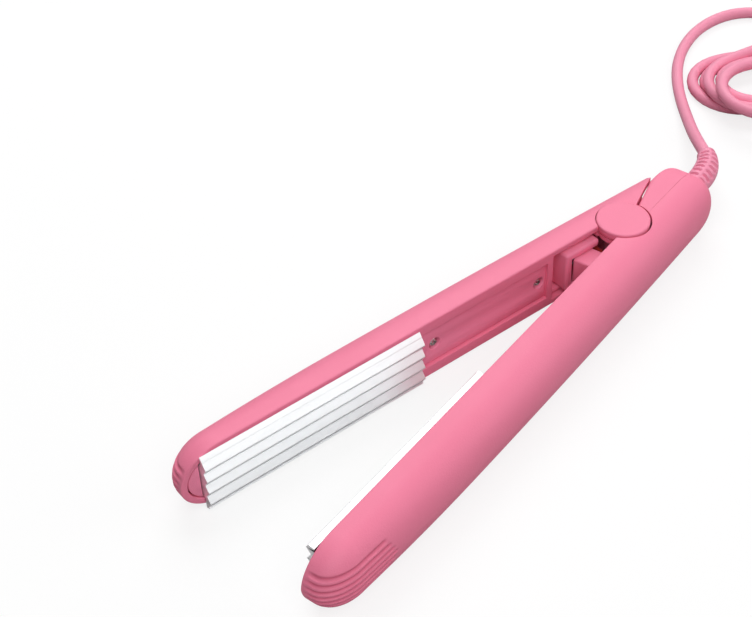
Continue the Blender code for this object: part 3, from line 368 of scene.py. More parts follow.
# %% Sizes and arm frames
MM = 0.001
GAP = 0.3
ARM_HALF_WIDTH, ARM_DEPTH, ARM_SHOULDER = 10.0, 14.9, 5.1
ARM_BACK_DROP, ARM_THICKEST_U, ARM_BACK_RUN = 0.9, 60.0, 80.0
TIP_DROP, TIP_DROP_FROM_U = 1.2, 95.0
WALL, RIM_V, TIP_U, TIP_NOSE = 1.9, 2.3, 149.46, 12.5
TAIL_X, TAIL_NOSE, TAIL_FULLNESS = 34.7, 14.0, 2.9
CAP_RADIUS, CAP_PROUD, CAP_THICKNESS = 7.75, 0.4, 1.7
NOSE_U, TAIL_NOSE_X = TIP_U - TIP_NOSE, TAIL_X - TAIL_NOSE
MIDDLE_Z = ARM_HALF_WIDTH + CAP_PROUD
SEAT_W = MIDDLE_Z - CAP_THICKNESS - GAP
FLANGE_HALF, FLANGE_THICKNESS, FLANGE_FRONT_U = 6.4, 1.6, 139.0
BRIDGE_U, BRIDGE_LENGTH = 24.6, 1.6
PARTING_V = 4.3


class Arm:
    """One arm's frame: the CAD body that carries it, its back's side and how far it is turned."""

    def __init__(self, body, side, turned):
        self.body, self.side = body, side
        self.turn = Matrix.Rotation(math.radians(turned), 3, "Z")

    def at(self, u, v, w):
        spot = self.turn @ (Vector((-u, self.side * v, w)) * MM)
        return spot + Vector((0, 0, MIDDLE_Z * MM))

    def axes(self):
        """A matrix that takes a mesh drawn in (u, v, w) metres to its place on the table."""
        flip = Matrix(((-1, 0, 0), (0, self.side, 0), (0, 0, 1)))
        return Matrix.Translation((0, 0, MIDDLE_Z * MM)) @ (self.turn @ flip).to_4x4()


CORD_ARM, PLATE_ARM = Arm("cord_arm", -1, 0), Arm("plate_arm", 1, -OPEN_ANGLE)
print("arm tips:", [[round(c, 3) for c in arm.at(TIP_U, 5, 0)] for arm in (CORD_ARM, PLATE_ARM)])

# %% [markdown]
# ## Turning a drawing into a piece
# Every piece ends the same way: doubles merged, faces turned outwards, smooth shading with sharp
# edges kept, a material, a body to ride on and the CAD nodes it stands for. Cuts and unions are
# exact booleans, applied at once so that nothing is left to evaluate later.

# %% Helpers that finish a piece
def closed_mesh(name, bm, merge=0.000004):
    """A closed mesh from bm, with its faces outwards."""
    bmesh.ops.remove_doubles(bm, verts=bm.verts, dist=merge)
    bmesh.ops.recalc_face_normals(bm, faces=bm.faces)
    if bm.calc_volume(signed=True) < 0:
        bmesh.ops.reverse_faces(bm, faces=bm.faces)
    mesh = bpy.data.meshes.new(name)
    bm.to_mesh(mesh)
    bm.free()
    return mesh


def new_object(name, data):
    made = bpy.data.objects.new(name, data)
    bpy.context.scene.collection.objects.link(made)
    return made


def solid(name, bm):
    return new_object(name, closed_mesh(name, bm))


def settle(target):
    """Apply every modifier of target and leave it a plain mesh."""
    ready = target.evaluated_get(bpy.context.evaluated_depsgraph_get())
    mesh = bpy.data.meshes.new_from_object(ready)
    target.modifiers.clear()
    target.data = mesh
    return target


def combine(target, operation, *others):
    """Cut others from target or join them to it, and drop them."""
    for other in others:
        step = target.modifiers.new(other.name, "BOOLEAN")
        step.object, step.operation, step.solver = other, operation, "EXACT"
    settle(target)
    for other in others:
        bpy.data.objects.remove(other)
    return target


def round_edges(target, width, segments=2):
    """Round the sharp edges as a mould does."""
    step = target.modifiers.new("edge", "BEVEL")
    step.width, step.segments = width * MM, segments
    step.limit_method, step.angle_limit = "ANGLE", math.radians(30)
    return settle(target)


def dress(piece, body, material, slot, *nodes, sharp=32):
    """Finish a piece: material, shading, the body it rides on and the CAD nodes it stands for."""
    piece.data.materials.clear()
    piece.data.materials.append(material)
    piece.data.shade_smooth()
    piece.data.set_sharp_from_angle(angle=math.radians(sharp))
    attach(piece, body)
    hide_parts(*nodes)
    print(piece.name, "on", body, "-", len(piece.data.polygons), "faces")
    return piece


# %% Helpers that draw simple solids
def block(arm, low, high):
    """A block between two corners (u, v, w)."""
    bm = bmesh.new()
    bmesh.ops.create_cube(bm, size=1)
    for vert in bm.verts:
        vert.co = arm.at(*[a + (b - a) * (c + 0.5) for a, b, c in zip(low, high, vert.co)])
    return solid("block", bm)


def bar(a, b, radius, sides=64):
    """A round bar between two places on the table, in metres; its radius is in millimetres."""
    bm = bmesh.new()
    bmesh.ops.create_cone(bm, cap_ends=True, segments=sides, radius1=radius * MM,
                          radius2=radius * MM, depth=(b - a).length)
    turn = Vector((0, 0, 1)).rotation_difference(b - a).to_matrix().to_4x4()
    bmesh.ops.transform(bm, matrix=Matrix.Translation((a + b) / 2) @ turn, verts=bm.verts)
    return solid("bar", bm)


def rod(arm, start, end, radius, sides=64):
    """A round bar between two points (u, v, w)."""
    return bar(arm.at(*start), arm.at(*end), radius, sides)


def skin(rings, closed_ends=(False, False)):
    """A bmesh skinned over closed rings of points."""
    bm = bmesh.new()
    rows = [[bm.verts.new(point) for point in ring] for ring in rings]
    count = len(rows[0])
    for one, other in zip(rows, rows[1:]):
        for i in range(count):
            j = (i + 1) % count
            bm.faces.new((one[i], one[j], other[j], other[i]))
    for closed, row in zip(closed_ends, (rows[0], rows[-1])):
        if closed:
            bm.faces.new(row)
    return bm


def slab(low, high):
    """A solid between two outlines with as many points."""
    return solid("slab", skin((low, high), (True, True)))


def quarter(steps):
    """The angles of a quarter turn, both ends included."""
    return [math.pi / 2 * k / steps for k in range(steps + 1)]


print("drawing helpers ready")

# %% [markdown]
# ## The cord
# A mains cord is one length of round cable, about 3.8 mm thick and 1.24 m long here. It leaves
# the boot, sinks to the table, swings round in a wide loop and goes into a hank: six flat turns
# held by a strap, just outside the picture, with the plug beside it. The hank's turns are worked
# out from the centres of their end folds. The finished path is smoothed like a stiff cable
# settling, and drives a curve with a round bevel.

# %% The route that the camera sees, and the plug's lead
CORD_RADIUS = 1.9
VISIBLE_ROUTE = [
    (52.9, 1.4, 10.4), (56.2, 4.9, 10.0), (59.8, 8.1, 8.9), (63.6, 10.9, 7.3), (67.5, 13.6, 5.7),
    (71.4, 16.2, 4.0), (75.3, 19.0, 2.8), (79.2, 22.1, 2.1), (83.0, 25.4, 2.0), (92.7, 32.5, 2.0),
    (103.2, 38.1, 2.0), (114.7, 41.5, 2.0), (126.7, 42.2, 2.0), (138.2, 39.0, 2.0),
    (143.3, 35.3, 2.0), (147.6, 28.0, 2.0), (150.6, 18.5, 2.0), (153.0, 8.5, 2.0),
    (155.2, -1.5, 2.0), (157.8, -10.8, 2.0),
]
LEAD_ROUTE = [
    (138.5, -39.9, 13.8), (134.0, -40.0, 13.3), (129.5, -39.2, 12.1), (125.0, -38.0, 10.6),
    (119.0, -36.0, 9.0), (112.0, -33.9, 7.7), (104.0, -32.5, 7.0), (96.8, -32.2, 7.0),
]
print("visible route:", len(VISIBLE_ROUTE), "points")

# %% The hank's turns
# Each turn: which left fold it goes round, its radius and its height.
LEFT_FOLDS, RIGHT_FOLD = [(102.9, 15.8), (101.1, 9.3), (95.5, 1.8)], (146.6, -27.4)
TURNS = [(0, 15.3, 2.0), (0, 11.45, 2.0), (1, 11.45, 5.87), (1, 15.3, 5.87), (2, 15.3, 9.74),
         (2, 11.45, 9.74)]
# Where along its upper run each turn crosses to the next one's track, sideways and in height.
CROSSINGS = [((0.70, 0.98), (0.70, 0.98)), ((0.51, 0.79), (0.51, 0.79)),
             ((0.26, 0.54), (0.26, 0.54)), ((0.20, 0.50), (0.0, 0.27)), ((0.0, 0.27), (0.0, 0.27))]
FOLD_STEPS, RUN_STEPS, CROSSING_STEPS = 12, 12, 14
FIRST_TURN, LAST_TURN, LAST_RISE = 8.0, -100.0, 4.0


def ease(t, window):
    t = min(max((t - window[0]) / (window[1] - window[0]), 0), 1)
    return t * t * (3 - 2 * t)


def on_fold(centre, radius, degrees, z):
    turn = math.radians(degrees)
    return np.array((centre[0] + radius * math.cos(turn), centre[1] + radius * math.sin(turn), z))


def upward(left):
    """The direction, in degrees, square to the line from a left fold to the right one."""
    return math.degrees(math.atan2(RIGHT_FOLD[1] - left[1], RIGHT_FOLD[0] - left[0])) + 90


def crossing(turn, next_turn, sideways, upwards):
    """The upper run of a turn, which moves over to the next turn's track on its way."""
    tracks = []
    for index, radius, z in (turn, next_turn):
        left = LEFT_FOLDS[index]
        tracks.append([on_fold(fold, radius, upward(left), z) for fold in (left, RIGHT_FOLD)])
    made = []
    for t in (i / CROSSING_STEPS for i in range(1, CROSSING_STEPS)):
        here, there = (a + (b - a) * t for a, b in tracks)
        point = here + (there - here) * ease(t, sideways)
        point[2] = here[2] + (there[2] - here[2]) * ease(t, upwards)
        made.append(point)
    return made


def hank_route():
    route = []
    for k, (index, radius, z) in enumerate(TURNS):
        left = LEFT_FOLDS[index]
        up = upward(left)
        last = k == len(TURNS) - 1
        begin, stop = up if k else FIRST_TURN, LAST_TURN if last else up - 180
        for t in (i / FOLD_STEPS for i in range(FOLD_STEPS + 1)):
            rise = LAST_RISE * t if last else 0.0
            route.append(on_fold(RIGHT_FOLD, radius, begin + (stop - begin) * t, z + rise))
        if last:
            return route
        a, b = route[-1], on_fold(left, radius, up - 180, z)
        route += [a + (b - a) * i / RUN_STEPS for i in range(1, RUN_STEPS)]
        route += [on_fold(left, radius, up - 180 - 180 * i / FOLD_STEPS, z)
                  for i in range(FOLD_STEPS + 1)]
        route += crossing(TURNS[k], TURNS[k + 1], *CROSSINGS[k])


print("hank route:", len(hank_route()), "points")


# %% Smooth the whole path
POINT_SPACING, SMOOTHING_ROUNDS, TOO_CLOSE = 3.0, 6, 0.8


def through(points, steps):
    """A smooth curve through the points."""
    made = []
    for i in range(len(points) - 1):
        before, after = points[max(i - 1, 0)], points[min(i + 2, len(points) - 1)]
        a, b = points[i], points[i + 1]
        for t in (k / steps for k in range(steps)):
            made.append(0.5 * (2 * a + (b - before) * t
                               + (2 * before - 5 * a + 4 * b - after) * t ** 2
                               + (3 * a - before - 3 * b + after) * t ** 3))
    return np.array(made + [points[-1]])


def evenly(points, spacing):
    """The same path with evenly spaced points, in numpy."""
    steps = np.linalg.norm(np.diff(points, axis=0), axis=1)
    along = np.concatenate(([0], np.cumsum(steps)))
    places = np.linspace(0, along[-1], int(along[-1] / spacing) + 1)
    return np.stack([np.interp(places, along, points[:, i]) for i in range(3)], axis=1)


def cord_path():
    route = [np.array(p) for p in VISIBLE_ROUTE + hank_route() + LEAD_ROUTE]
    kept = [route[0]]
    for point in route[1:]:
        if np.linalg.norm(point - kept[-1]) > TOO_CLOSE:
            kept.append(point)
    path = evenly(through(kept, 4), POINT_SPACING)
    for _ in range(SMOOTHING_ROUNDS):
        eased = path.copy()
        eased[2:-2] = (path[1:-3] + 2 * path[2:-2] + path[3:-1]) / 4
        path = eased
    return path * MM


path = cord_path()


# %% The cord itself
curve = bpy.data.curves.new("mains_cord", "CURVE")
curve.dimensions = "3D"
curve.bevel_depth, curve.bevel_resolution = CORD_RADIUS * MM, 5
curve.use_fill_caps = True
spline = curve.splines.new("POLY")
spline.points.add(len(path) - 1)
for point, place in zip(spline.points, path):
    point.co = (*place, 1)
spline.use_smooth = True
made = new_object("mains_cord", curve)
curve.materials.append(CORD_PINK)
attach(made, "cord_arm")
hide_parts("power_cord", "cord_hank", "plug_lead")

# %% [markdown]
# ## The two outer shells
# Each arm is a half-round moulding: flat sides, a back that is a little fuller than an ellipse, a
# blunt nose and, inside its rim, a return flange. A shell like this could be a subdivided box,
# but its walls follow a rule, so it is skinned over computed sections instead. Every section is
# one closed line: over the back, round the rim, in over the flange and back along the inner wall.

# %% Places of the section's points
BACK_FULLNESS = 2.15
RIM_ROUND, SEAM_ROUND, FLANGE_ROUND = 0.45, 0.04, 0.25
SEAM = 0.02                # half the parting line between the tail's halves
NO_FLANGE = 99
# Turn angles over half the back: close together where the grooves run, wider down the side.
BACK_TURNS = [math.asin(k * 0.0165) for k in range(45)]
BACK_TURNS += [BACK_TURNS[-1] + (math.pi / 2 - BACK_TURNS[-1]) * (k + 1) / 14 for k in range(14)]
INNER_TURNS, CORNER_TURNS = quarter(16), quarter(4)


def back_v(u):
    """The arm's back: slightly bowed along its length, and drawn in towards the tip."""
    bow = ARM_BACK_DROP * ((u - ARM_THICKEST_U) / ARM_BACK_RUN) ** 2
    drawn_in = max(0.0, (min(u, NOSE_U) - TIP_DROP_FROM_U) / (NOSE_U - TIP_DROP_FROM_U)) ** 2
    return ARM_DEPTH - bow - TIP_DROP * drawn_in


def fuller(turn, fullness):
    """(across, out) of a rounded back at a turn angle; fullness 2 is an ellipse."""
    return math.sin(turn) ** (2 / fullness), max(math.cos(turn), 0) ** (2 / fullness)


# %% One half section
def half_section(half, back, inner_half, inner_back, rim, flange):
    """Points (inner?, v, w) from the outer back round the rim to the inner back."""
    made = []
    for turn in BACK_TURNS:
        across, out = fuller(turn, BACK_FULLNESS)
        made.append((False, ARM_SHOULDER + (back - ARM_SHOULDER) * out, half * across))
    edge_round = RIM_ROUND if rim == RIM_V else SEAM_ROUND
    r, soft = min(edge_round, half * 0.5), min(edge_round, (ARM_SHOULDER - rim) * 0.6)
    for k in (1, 2, 3):
        made.append((False, ARM_SHOULDER + (rim + soft - ARM_SHOULDER) * k / 4, half))
    for turn in CORNER_TURNS:
        made.append((False, rim + soft * (1 - math.sin(turn)), half - r * (1 - math.cos(turn))))
    edge = min(flange, inner_half)
    q = min(FLANGE_ROUND, edge * 0.3)
    for turn in CORNER_TURNS:
        made.append((True, rim + FLANGE_ROUND * (1 - math.cos(turn)),
                     edge + q * (1 - math.sin(turn))))
    under = min(rim + FLANGE_THICKNESS, ARM_SHOULDER - 0.05)
    made += [(True, under, edge), (True, under, inner_half)]
    for turn in reversed(INNER_TURNS):
        across, out = fuller(turn, BACK_FULLNESS)
        made.append((True, ARM_SHOULDER + (inner_back - ARM_SHOULDER) * out, inner_half * across))
    return made


print("back at hinge, middle, nose:", [round(back_v(u), 2) for u in (0, ARM_THICKEST_U, NOSE_U)])

# %% [markdown]
# ## Grip grooves
# Seven fine grooves run over the nose, so that fingers can hold the hot end shut. They lie in
# level planes, so seen from the side they are straight, and over the nose they curve with it.
# Each one is pressed in along the surface's own normal. Their rear ends make an arrow: the middle
# groove starts furthest back.

# %% Grooves pressed into the back
GROOVE_COUNT, GROOVE_PITCH, GROOVE_HALF, GROOVE_DEPTH = 7, 1.75, 0.62, 0.50
GROOVE_START_U, GROOVE_ARROW, GROOVE_RUN_IN = 126.2, 0.93, 1.4
GROOVE_LOW_V, GROOVE_RIM = RIM_V + 0.5, 2.2


def groove_depth(u, v, w):
    """How deep the surface is pressed in at this place: nothing near the rim."""
    number = round(w / GROOVE_PITCH)
    beside = abs(w - number * GROOVE_PITCH) / GROOVE_HALF
    from_start = u - GROOVE_START_U - GROOVE_ARROW * abs(number)
    outside = abs(number) > GROOVE_COUNT // 2 or beside >= 1
    if outside or v < GROOVE_LOW_V or from_start <= 0:
        return 0.0
    along = min(from_start / GROOVE_RUN_IN, 1.0)
    above_rim = min((v - GROOVE_LOW_V) / GROOVE_RIM, 1.0)
    return GROOVE_DEPTH * (1 - beside ** 2) * along * (2 - along) * above_rim


def pressed(u, v, w, inner):
    """The same point, and on the outside with the groove pressed in."""
    depth = 0 if inner else groove_depth(u, v, w)
    if depth == 0:
        return u, v, w
    rise = back_v(min(u, NOSE_U)) - ARM_SHOULDER
    normal = Vector((max(u - NOSE_U, 0) / TIP_NOSE ** 2, max(v - ARM_SHOULDER, 0) / rise ** 2,
                     w / ARM_HALF_WIDTH ** 2)).normalized()
    return u - depth * normal.x, v - depth * normal.y, w - depth * normal.z


def mark_grooves(shell, arm):
    """An attribute that is 1 at the bottom of a groove, where the colour is darkened as painted
    shade.
    """
    mark = shell.data.attributes.new("groove", "FLOAT", "POINT")
    back = arm.axes().inverted()
    spots = [back @ vert.co / MM for vert in shell.data.vertices]
    mark.data.foreach_set("value", [groove_depth(*spot) / GROOVE_DEPTH for spot in spots])


print("grooves:", GROOVE_COUNT, "at", GROOVE_PITCH, "mm pitch")

# %% The shell's rings
def ring(arm, u, inner_u, rise, left, rim, flange):
    """One closed section; left is the share of the full size that a rounded end still has here."""
    half = half_section(ARM_HALF_WIDTH * left, ARM_SHOULDER + rise * left,
                        (ARM_HALF_WIDTH - WALL) * left, ARM_SHOULDER + (rise - WALL) * left,
                        rim, flange)
    mirrored = [(inner, v, -w) for inner, v, w in reversed(half[1:-1])]
    return [arm.at(*pressed(inner_u if inner else u, v, w, inner))
            for inner, v, w in half + mirrored]


def straight_rings(arm, side_rim):
    """The straight part: its sections are close together only where the grooves are."""
    flanged = BRIDGE_U + BRIDGE_LENGTH
    stations = [*np.linspace(-TAIL_NOSE_X, BRIDGE_U - 4, 14), flanged - 0.01,
                *np.linspace(flanged, 120, 16), *np.linspace(121, NOSE_U, 46)]
    return [ring(arm, u, u, back_v(u) - ARM_SHOULDER, 1, side_rim if u < 0 else RIM_V,
                 FLANGE_HALF if u >= flanged else NO_FLANGE) for u in stations]


def end_rings(arm, start_u, way, reach, fullness, rim, steps):
    """A rounded end: the outer line and the inner wall turn by the same angle."""
    rings = []
    for turn in quarter(steps)[1:]:
        along, left = fuller(turn, fullness)
        u, inner_u = start_u + way * reach * along, start_u + way * (reach - WALL) * along
        flange = FLANGE_HALF if way > 0 and inner_u < FLANGE_FRONT_U else NO_FLANGE
        rings.append(ring(arm, u, inner_u, back_v(start_u) - ARM_SHOULDER, left, rim, flange))
    return rings[::int(way)]


def nose_rings(arm):
    return end_rings(arm, NOSE_U, 1, TIP_NOSE, 2, RIM_V, 96)


print("ring helpers ready")

# %% [markdown]
# ## Cord arm shell
# The cord arm carries the tail. From the hinge back, its side walls stop at the parting seam,
# where the tail's other half meets it. Round openings take the hinge caps, and a bore lets the
# cord in.

# %% Cord arm shell
CORD_ARM_CAP_CLEAR, CAP_RECESS_CLEAR = 0.5, 0.2
KNUCKLE_INNER, KNUCKLE_RADIUS = 6.2, 7.4
RELIEF_RADIUS = 3.3


def cap_openings(arm, clearance, floor):
    """Cutters for the round openings in both side walls."""
    return [rod(arm, (0, 0, side * floor), (0, 0, side * (ARM_HALF_WIDTH + 3)),
                CAP_RADIUS + clearance, 128) for side in (-1, 1)]


def cord_arm_cutters():
    """The cap openings and the cord's bore, which the tail's two halves share."""
    bore = rod(CORD_ARM, (-TAIL_X - 5, PARTING_V, 0), (-TAIL_X + 8, PARTING_V, 0),
               RELIEF_RADIUS + GAP)
    return [*cap_openings(CORD_ARM, CORD_ARM_CAP_CLEAR, KNUCKLE_INNER - GAP), bore]


def bridge(arm):
    """The bar across the flange's rear end."""
    reach = ARM_HALF_WIDTH - WALL + 0.3
    return block(arm, (BRIDGE_U, RIM_V, -reach), (
        BRIDGE_U + BRIDGE_LENGTH + 0.3, RIM_V + FLANGE_THICKNESS - 0.01, reach))


rings = end_rings(CORD_ARM, -TAIL_NOSE_X, -1, TAIL_NOSE, TAIL_FULLNESS, PARTING_V + SEAM, 28)
rings += straight_rings(CORD_ARM, PARTING_V + SEAM) + nose_rings(CORD_ARM)
shell = solid("fine_cord_arm_shell", skin(rings))
combine(shell, "UNION", bridge(CORD_ARM))
combine(shell, "DIFFERENCE", *cord_arm_cutters())
mark_grooves(shell, CORD_ARM)
cord_arm_shell = dress(shell, "cord_arm", SHELL_PINK, "shell_plastic", "cord_arm_shell")

# %% [markdown]
# ## Plate arm shell
# The plate arm ends in two ears that hold the axle, and its tail is cut to a wedge that clears
# the other arm when the tool shuts. A fine groove runs round each ear under its cap.

# %% Plate arm shell
WEDGE_U, WEDGE_SLOPE, WEDGE_RUN, AXLE_RADIUS = -7.5, 0.54, 25, 1.5
NECK_W, NECK_RING_DEPTH = (7.55, 7.95), 0.4


def knuckle(side):
    """One ear: a disc round the axle with a pad that ties it to the side wall."""
    low, high = sorted((side * KNUCKLE_INNER, side * (SEAT_W + 0.6)))
    disc = rod(PLATE_ARM, (0, 0, low), (0, 0, high), KNUCKLE_RADIUS, 128)
    return disc, block(PLATE_ARM, (-6.0, RIM_V + 0.1, low), (7.6, 6.6, high))


def neck_ring(side):
    """A cutter for the fine groove round an ear, under its cap."""
    low, high = side * NECK_W[0], side * NECK_W[1]
    ring = rod(PLATE_ARM, (0, 0, low), (0, 0, high), KNUCKLE_RADIUS + 0.6, 128)
    core = rod(PLATE_ARM, (0, 0, low * 0.9), (0, 0, high * 1.1), KNUCKLE_RADIUS - NECK_RING_DEPTH,
               128)
    return combine(ring, "DIFFERENCE", core)


def tail_wedge():
    """A cutter that leaves the tail a wedge."""
    end, root = WEDGE_U - WEDGE_RUN, RIM_V + 0.1
    outline = [(WEDGE_U, -9), (WEDGE_U, root), (end, root + WEDGE_RUN * WEDGE_SLOPE), (end, -9)]
    return slab(*([PLATE_ARM.at(u, v, w) for u, v in outline]
                  for w in (-ARM_HALF_WIDTH - 2, ARM_HALF_WIDTH + 2)))


rings = straight_rings(PLATE_ARM, RIM_V) + nose_rings(PLATE_ARM)
shell = solid("fine_plate_arm_shell", skin(rings, (True, False)))
combine(shell, "UNION", bridge(PLATE_ARM), *knuckle(-1), *knuckle(1))
holes = [rod(PLATE_ARM, (0, 0, side * 4), (0, 0, side * 13), AXLE_RADIUS + GAP)
         for side in (-1, 1)]
combine(shell, "DIFFERENCE", tail_wedge(),
        *cap_openings(PLATE_ARM, CAP_RECESS_CLEAR, SEAT_W), *holes)
combine(shell, "DIFFERENCE", neck_ring(-1), neck_ring(1))
mark_grooves(shell, PLATE_ARM)
plate_arm_shell = dress(shell, "plate_arm", SHELL_PINK, "shell_plastic", "plate_arm_shell")

# %% [markdown]
# ## Hinge caps
# A plain round cap covers each end of the axle. It is a lathe shape: a flat face with a softly
# rounded rim that stands a little over the arm's side. Spinning a profile gives clean rings that
# catch the light evenly.

# %% Hinge caps
CAP_ROUND, CAP_STUB_RADIUS, CAP_STUB_W, CAP_SIDES = 0.55, 3.1, SEAT_W + 1.3, 128


def make_hinge_cap(side, place):
    top, base = MIDDLE_Z, MIDDLE_Z - CAP_THICKNESS
    profile = [(0.0, top - 0.10), (3.0, top - 0.08), (5.5, top - 0.03), (CAP_RADIUS - 1.0, top)]
    profile += [(CAP_RADIUS - CAP_ROUND * (1 - math.sin(a)), top - CAP_ROUND * (1 - math.cos(a)))
                for a in quarter(6)]
    profile += [(CAP_RADIUS, base), (CAP_STUB_RADIUS, base), (CAP_STUB_RADIUS, CAP_STUB_W),
                (0.0, CAP_STUB_W)]
    turns = [2 * math.pi * k / CAP_SIDES for k in range(CAP_SIDES)]
    cap = solid(f"fine_hinge_cap_{place}", skin([
        [PLATE_ARM.at(-r * math.cos(a), r * math.sin(a), side * w) for a in turns]
        for r, w in profile]))
    return dress(cap, "plate_arm", SHELL_PINK, "shell_plastic", f"hinge_cap_{place}")


for side, place in ((1, "top"), (-1, "bottom")):
    make_hinge_cap(side, place)

# %% [markdown]
# ## Tail cover
# The tail is closed by a second half towards the plate arm. Its inner face slopes to meet the
# wedge of the other arm, and its corners are squarer than the back's. It is skinned like the
# shells.

# %% Tail cover
TAIL_FACE_V, TAIL_FACE_SLOPE, TAIL_FACE_X, TAIL_COVER_X = 0.1, 0.25, 7.87, 6.2
CORNER_FULLNESS, TAIL_SIDE_STEPS, TAIL_END_STEPS = 13.0, 32, 28


def tail_cover_ring(x, inner_x, left):
    """A section of the tail cover: the outer line there and the inner line back."""
    rim = PARTING_V - SEAM
    face_v = TAIL_FACE_V - TAIL_FACE_SLOPE * (min(x, TAIL_NOSE_X) - TAIL_FACE_X)
    rise = (rim - face_v) * left
    inner_rise = rise - WALL * min(left * 2, 1)
    outer, inner = [], []
    for k in range(-TAIL_SIDE_STEPS, TAIL_SIDE_STEPS + 1):
        turn = math.pi / 2 * k / TAIL_SIDE_STEPS
        across, out = fuller(abs(turn), CORNER_FULLNESS)
        side = ARM_HALF_WIDTH * math.copysign(across, turn) * left
        inner_side = side * (ARM_HALF_WIDTH - WALL) / ARM_HALF_WIDTH
        outer.append(CORD_ARM.at(-x, rim - rise * out, side))
        inner.append(CORD_ARM.at(-inner_x, rim - inner_rise * out, inner_side))
    return outer + inner[::-1]


rings = [tail_cover_ring(x, x, 1.0) for x in np.linspace(TAIL_COVER_X, TAIL_NOSE_X, 12)]
for turn in quarter(TAIL_END_STEPS)[1:]:
    along, left = fuller(turn, TAIL_FULLNESS)
    rings.append(tail_cover_ring(TAIL_NOSE_X + TAIL_NOSE * along,
                                 TAIL_NOSE_X + (TAIL_NOSE - WALL) * along, left))
cover = solid("fine_tail_cover", skin(rings, (True, False)))
combine(cover, "DIFFERENCE", *cord_arm_cutters())
tail_cover = dress(cover, "cord_arm", SHELL_PINK, "shell_plastic", "tail_cover")

# %% [markdown]
# ## Inner covers
# Each arm is closed by an inner cover that snaps in under the rim flange. It is a flat moulding
# with a sunken panel, a window for the hot plate, a half-moon pad in front of it and, near the
# hinge, the works of the jaw spring: a socket on the plate arm and a hollow block on the cord
# arm. These are straight-sided mouldings, so they are drawn as blocks and slabs, joined, and
# their edges rounded.

# %% Sizes of the covers
COVER_V, COVER_THICKNESS, COVER_HALF, PANEL_V, DECK_V = 4.2, 1.4, 7.8, 3.3, 3.8
TIP_PAD_V, TIP_PAD_U, PLATE_REAR_U = 2.6, 143.6, 73.3
WINDOW_U, WINDOW_LENGTH, WINDOW_HALF = 76.0, 60.0, 6.3
SCREW_U, SCREW_HEAD_RADIUS, SCREW_SHANK_RADIUS, SCREW_SEAT_V = (29.0, 67.0), 1.65, 0.9, 4.7
SOCKET_U, SOCKET_REAR_U, SOCKET_HALF, SOCKET_WALL = 20.6, 8.0, 6.6, 2.0
SOCKET_RIM_V, SOCKET_FLOOR_V, SOCKET_FLOOR = 0.9, 8.3, 0.9
TRAY_FRONT_U, TRAY_HALF, TRAY_V, TRAY_WALL = 23.2, 6.75, 7.4, 0.8
BLOCK_U, BLOCK_WALL, BLOCK_RISE, BLOCK_FLOOR_V, BLOCK_HALF = (9.6, 17.0), 1.2, 5.9, 8.0, 4.2
BARREL_RADIUS, BARREL_HALF, SLOT_HALF = 5.0, 5.2, 2.9
COVER_REAR_U, INSET, THROUGH_V, EDGE_ROUND = SOCKET_REAR_U + 0.7, 0.15, 9, 0.22


def nosed_slab(arm, from_u, inset, low, high, steps=64):
    """A strip whose front end follows the nose, inset from the cover's outline."""
    a, b = TIP_NOSE - WALL - GAP - inset, COVER_HALF - inset
    turns = [math.pi * i / steps for i in range(steps + 1)]
    outline = [(from_u, -b), *((NOSE_U + a * math.sin(t), -b * math.cos(t)) for t in turns),
               (from_u, b)]
    return slab(*([arm.at(u, v, w) for u, w in outline] for v in (low, high)))


def cover_plate(arm):
    """The wide plate under the flange with its window, and the panel and deck on it."""
    cover = nosed_slab(arm, COVER_REAR_U, 0, COVER_V, COVER_V + COVER_THICKNESS)
    combine(cover, "DIFFERENCE", block(arm, (WINDOW_U, 0, -WINDOW_HALF), (
        WINDOW_U + WINDOW_LENGTH, THROUGH_V, WINDOW_HALF)))
    panel = block(arm, (BRIDGE_U + BRIDGE_LENGTH + GAP, PANEL_V, -FLANGE_HALF + GAP),
                  (PLATE_REAR_U - GAP, COVER_V + 0.2, FLANGE_HALF - GAP))
    deck = block(arm, (COVER_REAR_U + INSET, DECK_V, -COVER_HALF + INSET),
                 (BRIDGE_U - GAP, COVER_V + 0.2, COVER_HALF - INSET))
    return combine(cover, "UNION", panel, deck)


def screw_seats(arm):
    """Cutters for the counterbored screw holes."""
    made = []
    for u in SCREW_U:
        made.append(rod(arm, (u, 0, 0), (u, SCREW_SEAT_V + 0.5, 0), SCREW_HEAD_RADIUS + 0.3))
        made.append(rod(arm, (u, 0.5, 0), (u, THROUGH_V, 0), SCREW_SHANK_RADIUS + GAP))
    return made


def tip_pad(arm):
    """The raised half-moon that shows in front of the plate."""
    pad = nosed_slab(arm, NOSE_U, INSET, TIP_PAD_V, COVER_V + 0.2)
    return combine(pad, "DIFFERENCE", block(arm, (NOSE_U - 2, 0, -12), (TIP_PAD_U, THROUGH_V, 12)))


def finish_cover(cover, arm):
    round_edges(cover, EDGE_ROUND)
    cover.name = f"fine_{arm.body}_cover"
    return dress(cover, arm.body, COVER_PINK_PAINTED_LIGHT, "cover_plastic", f"{arm.body}_cover")


print("cover helpers ready")

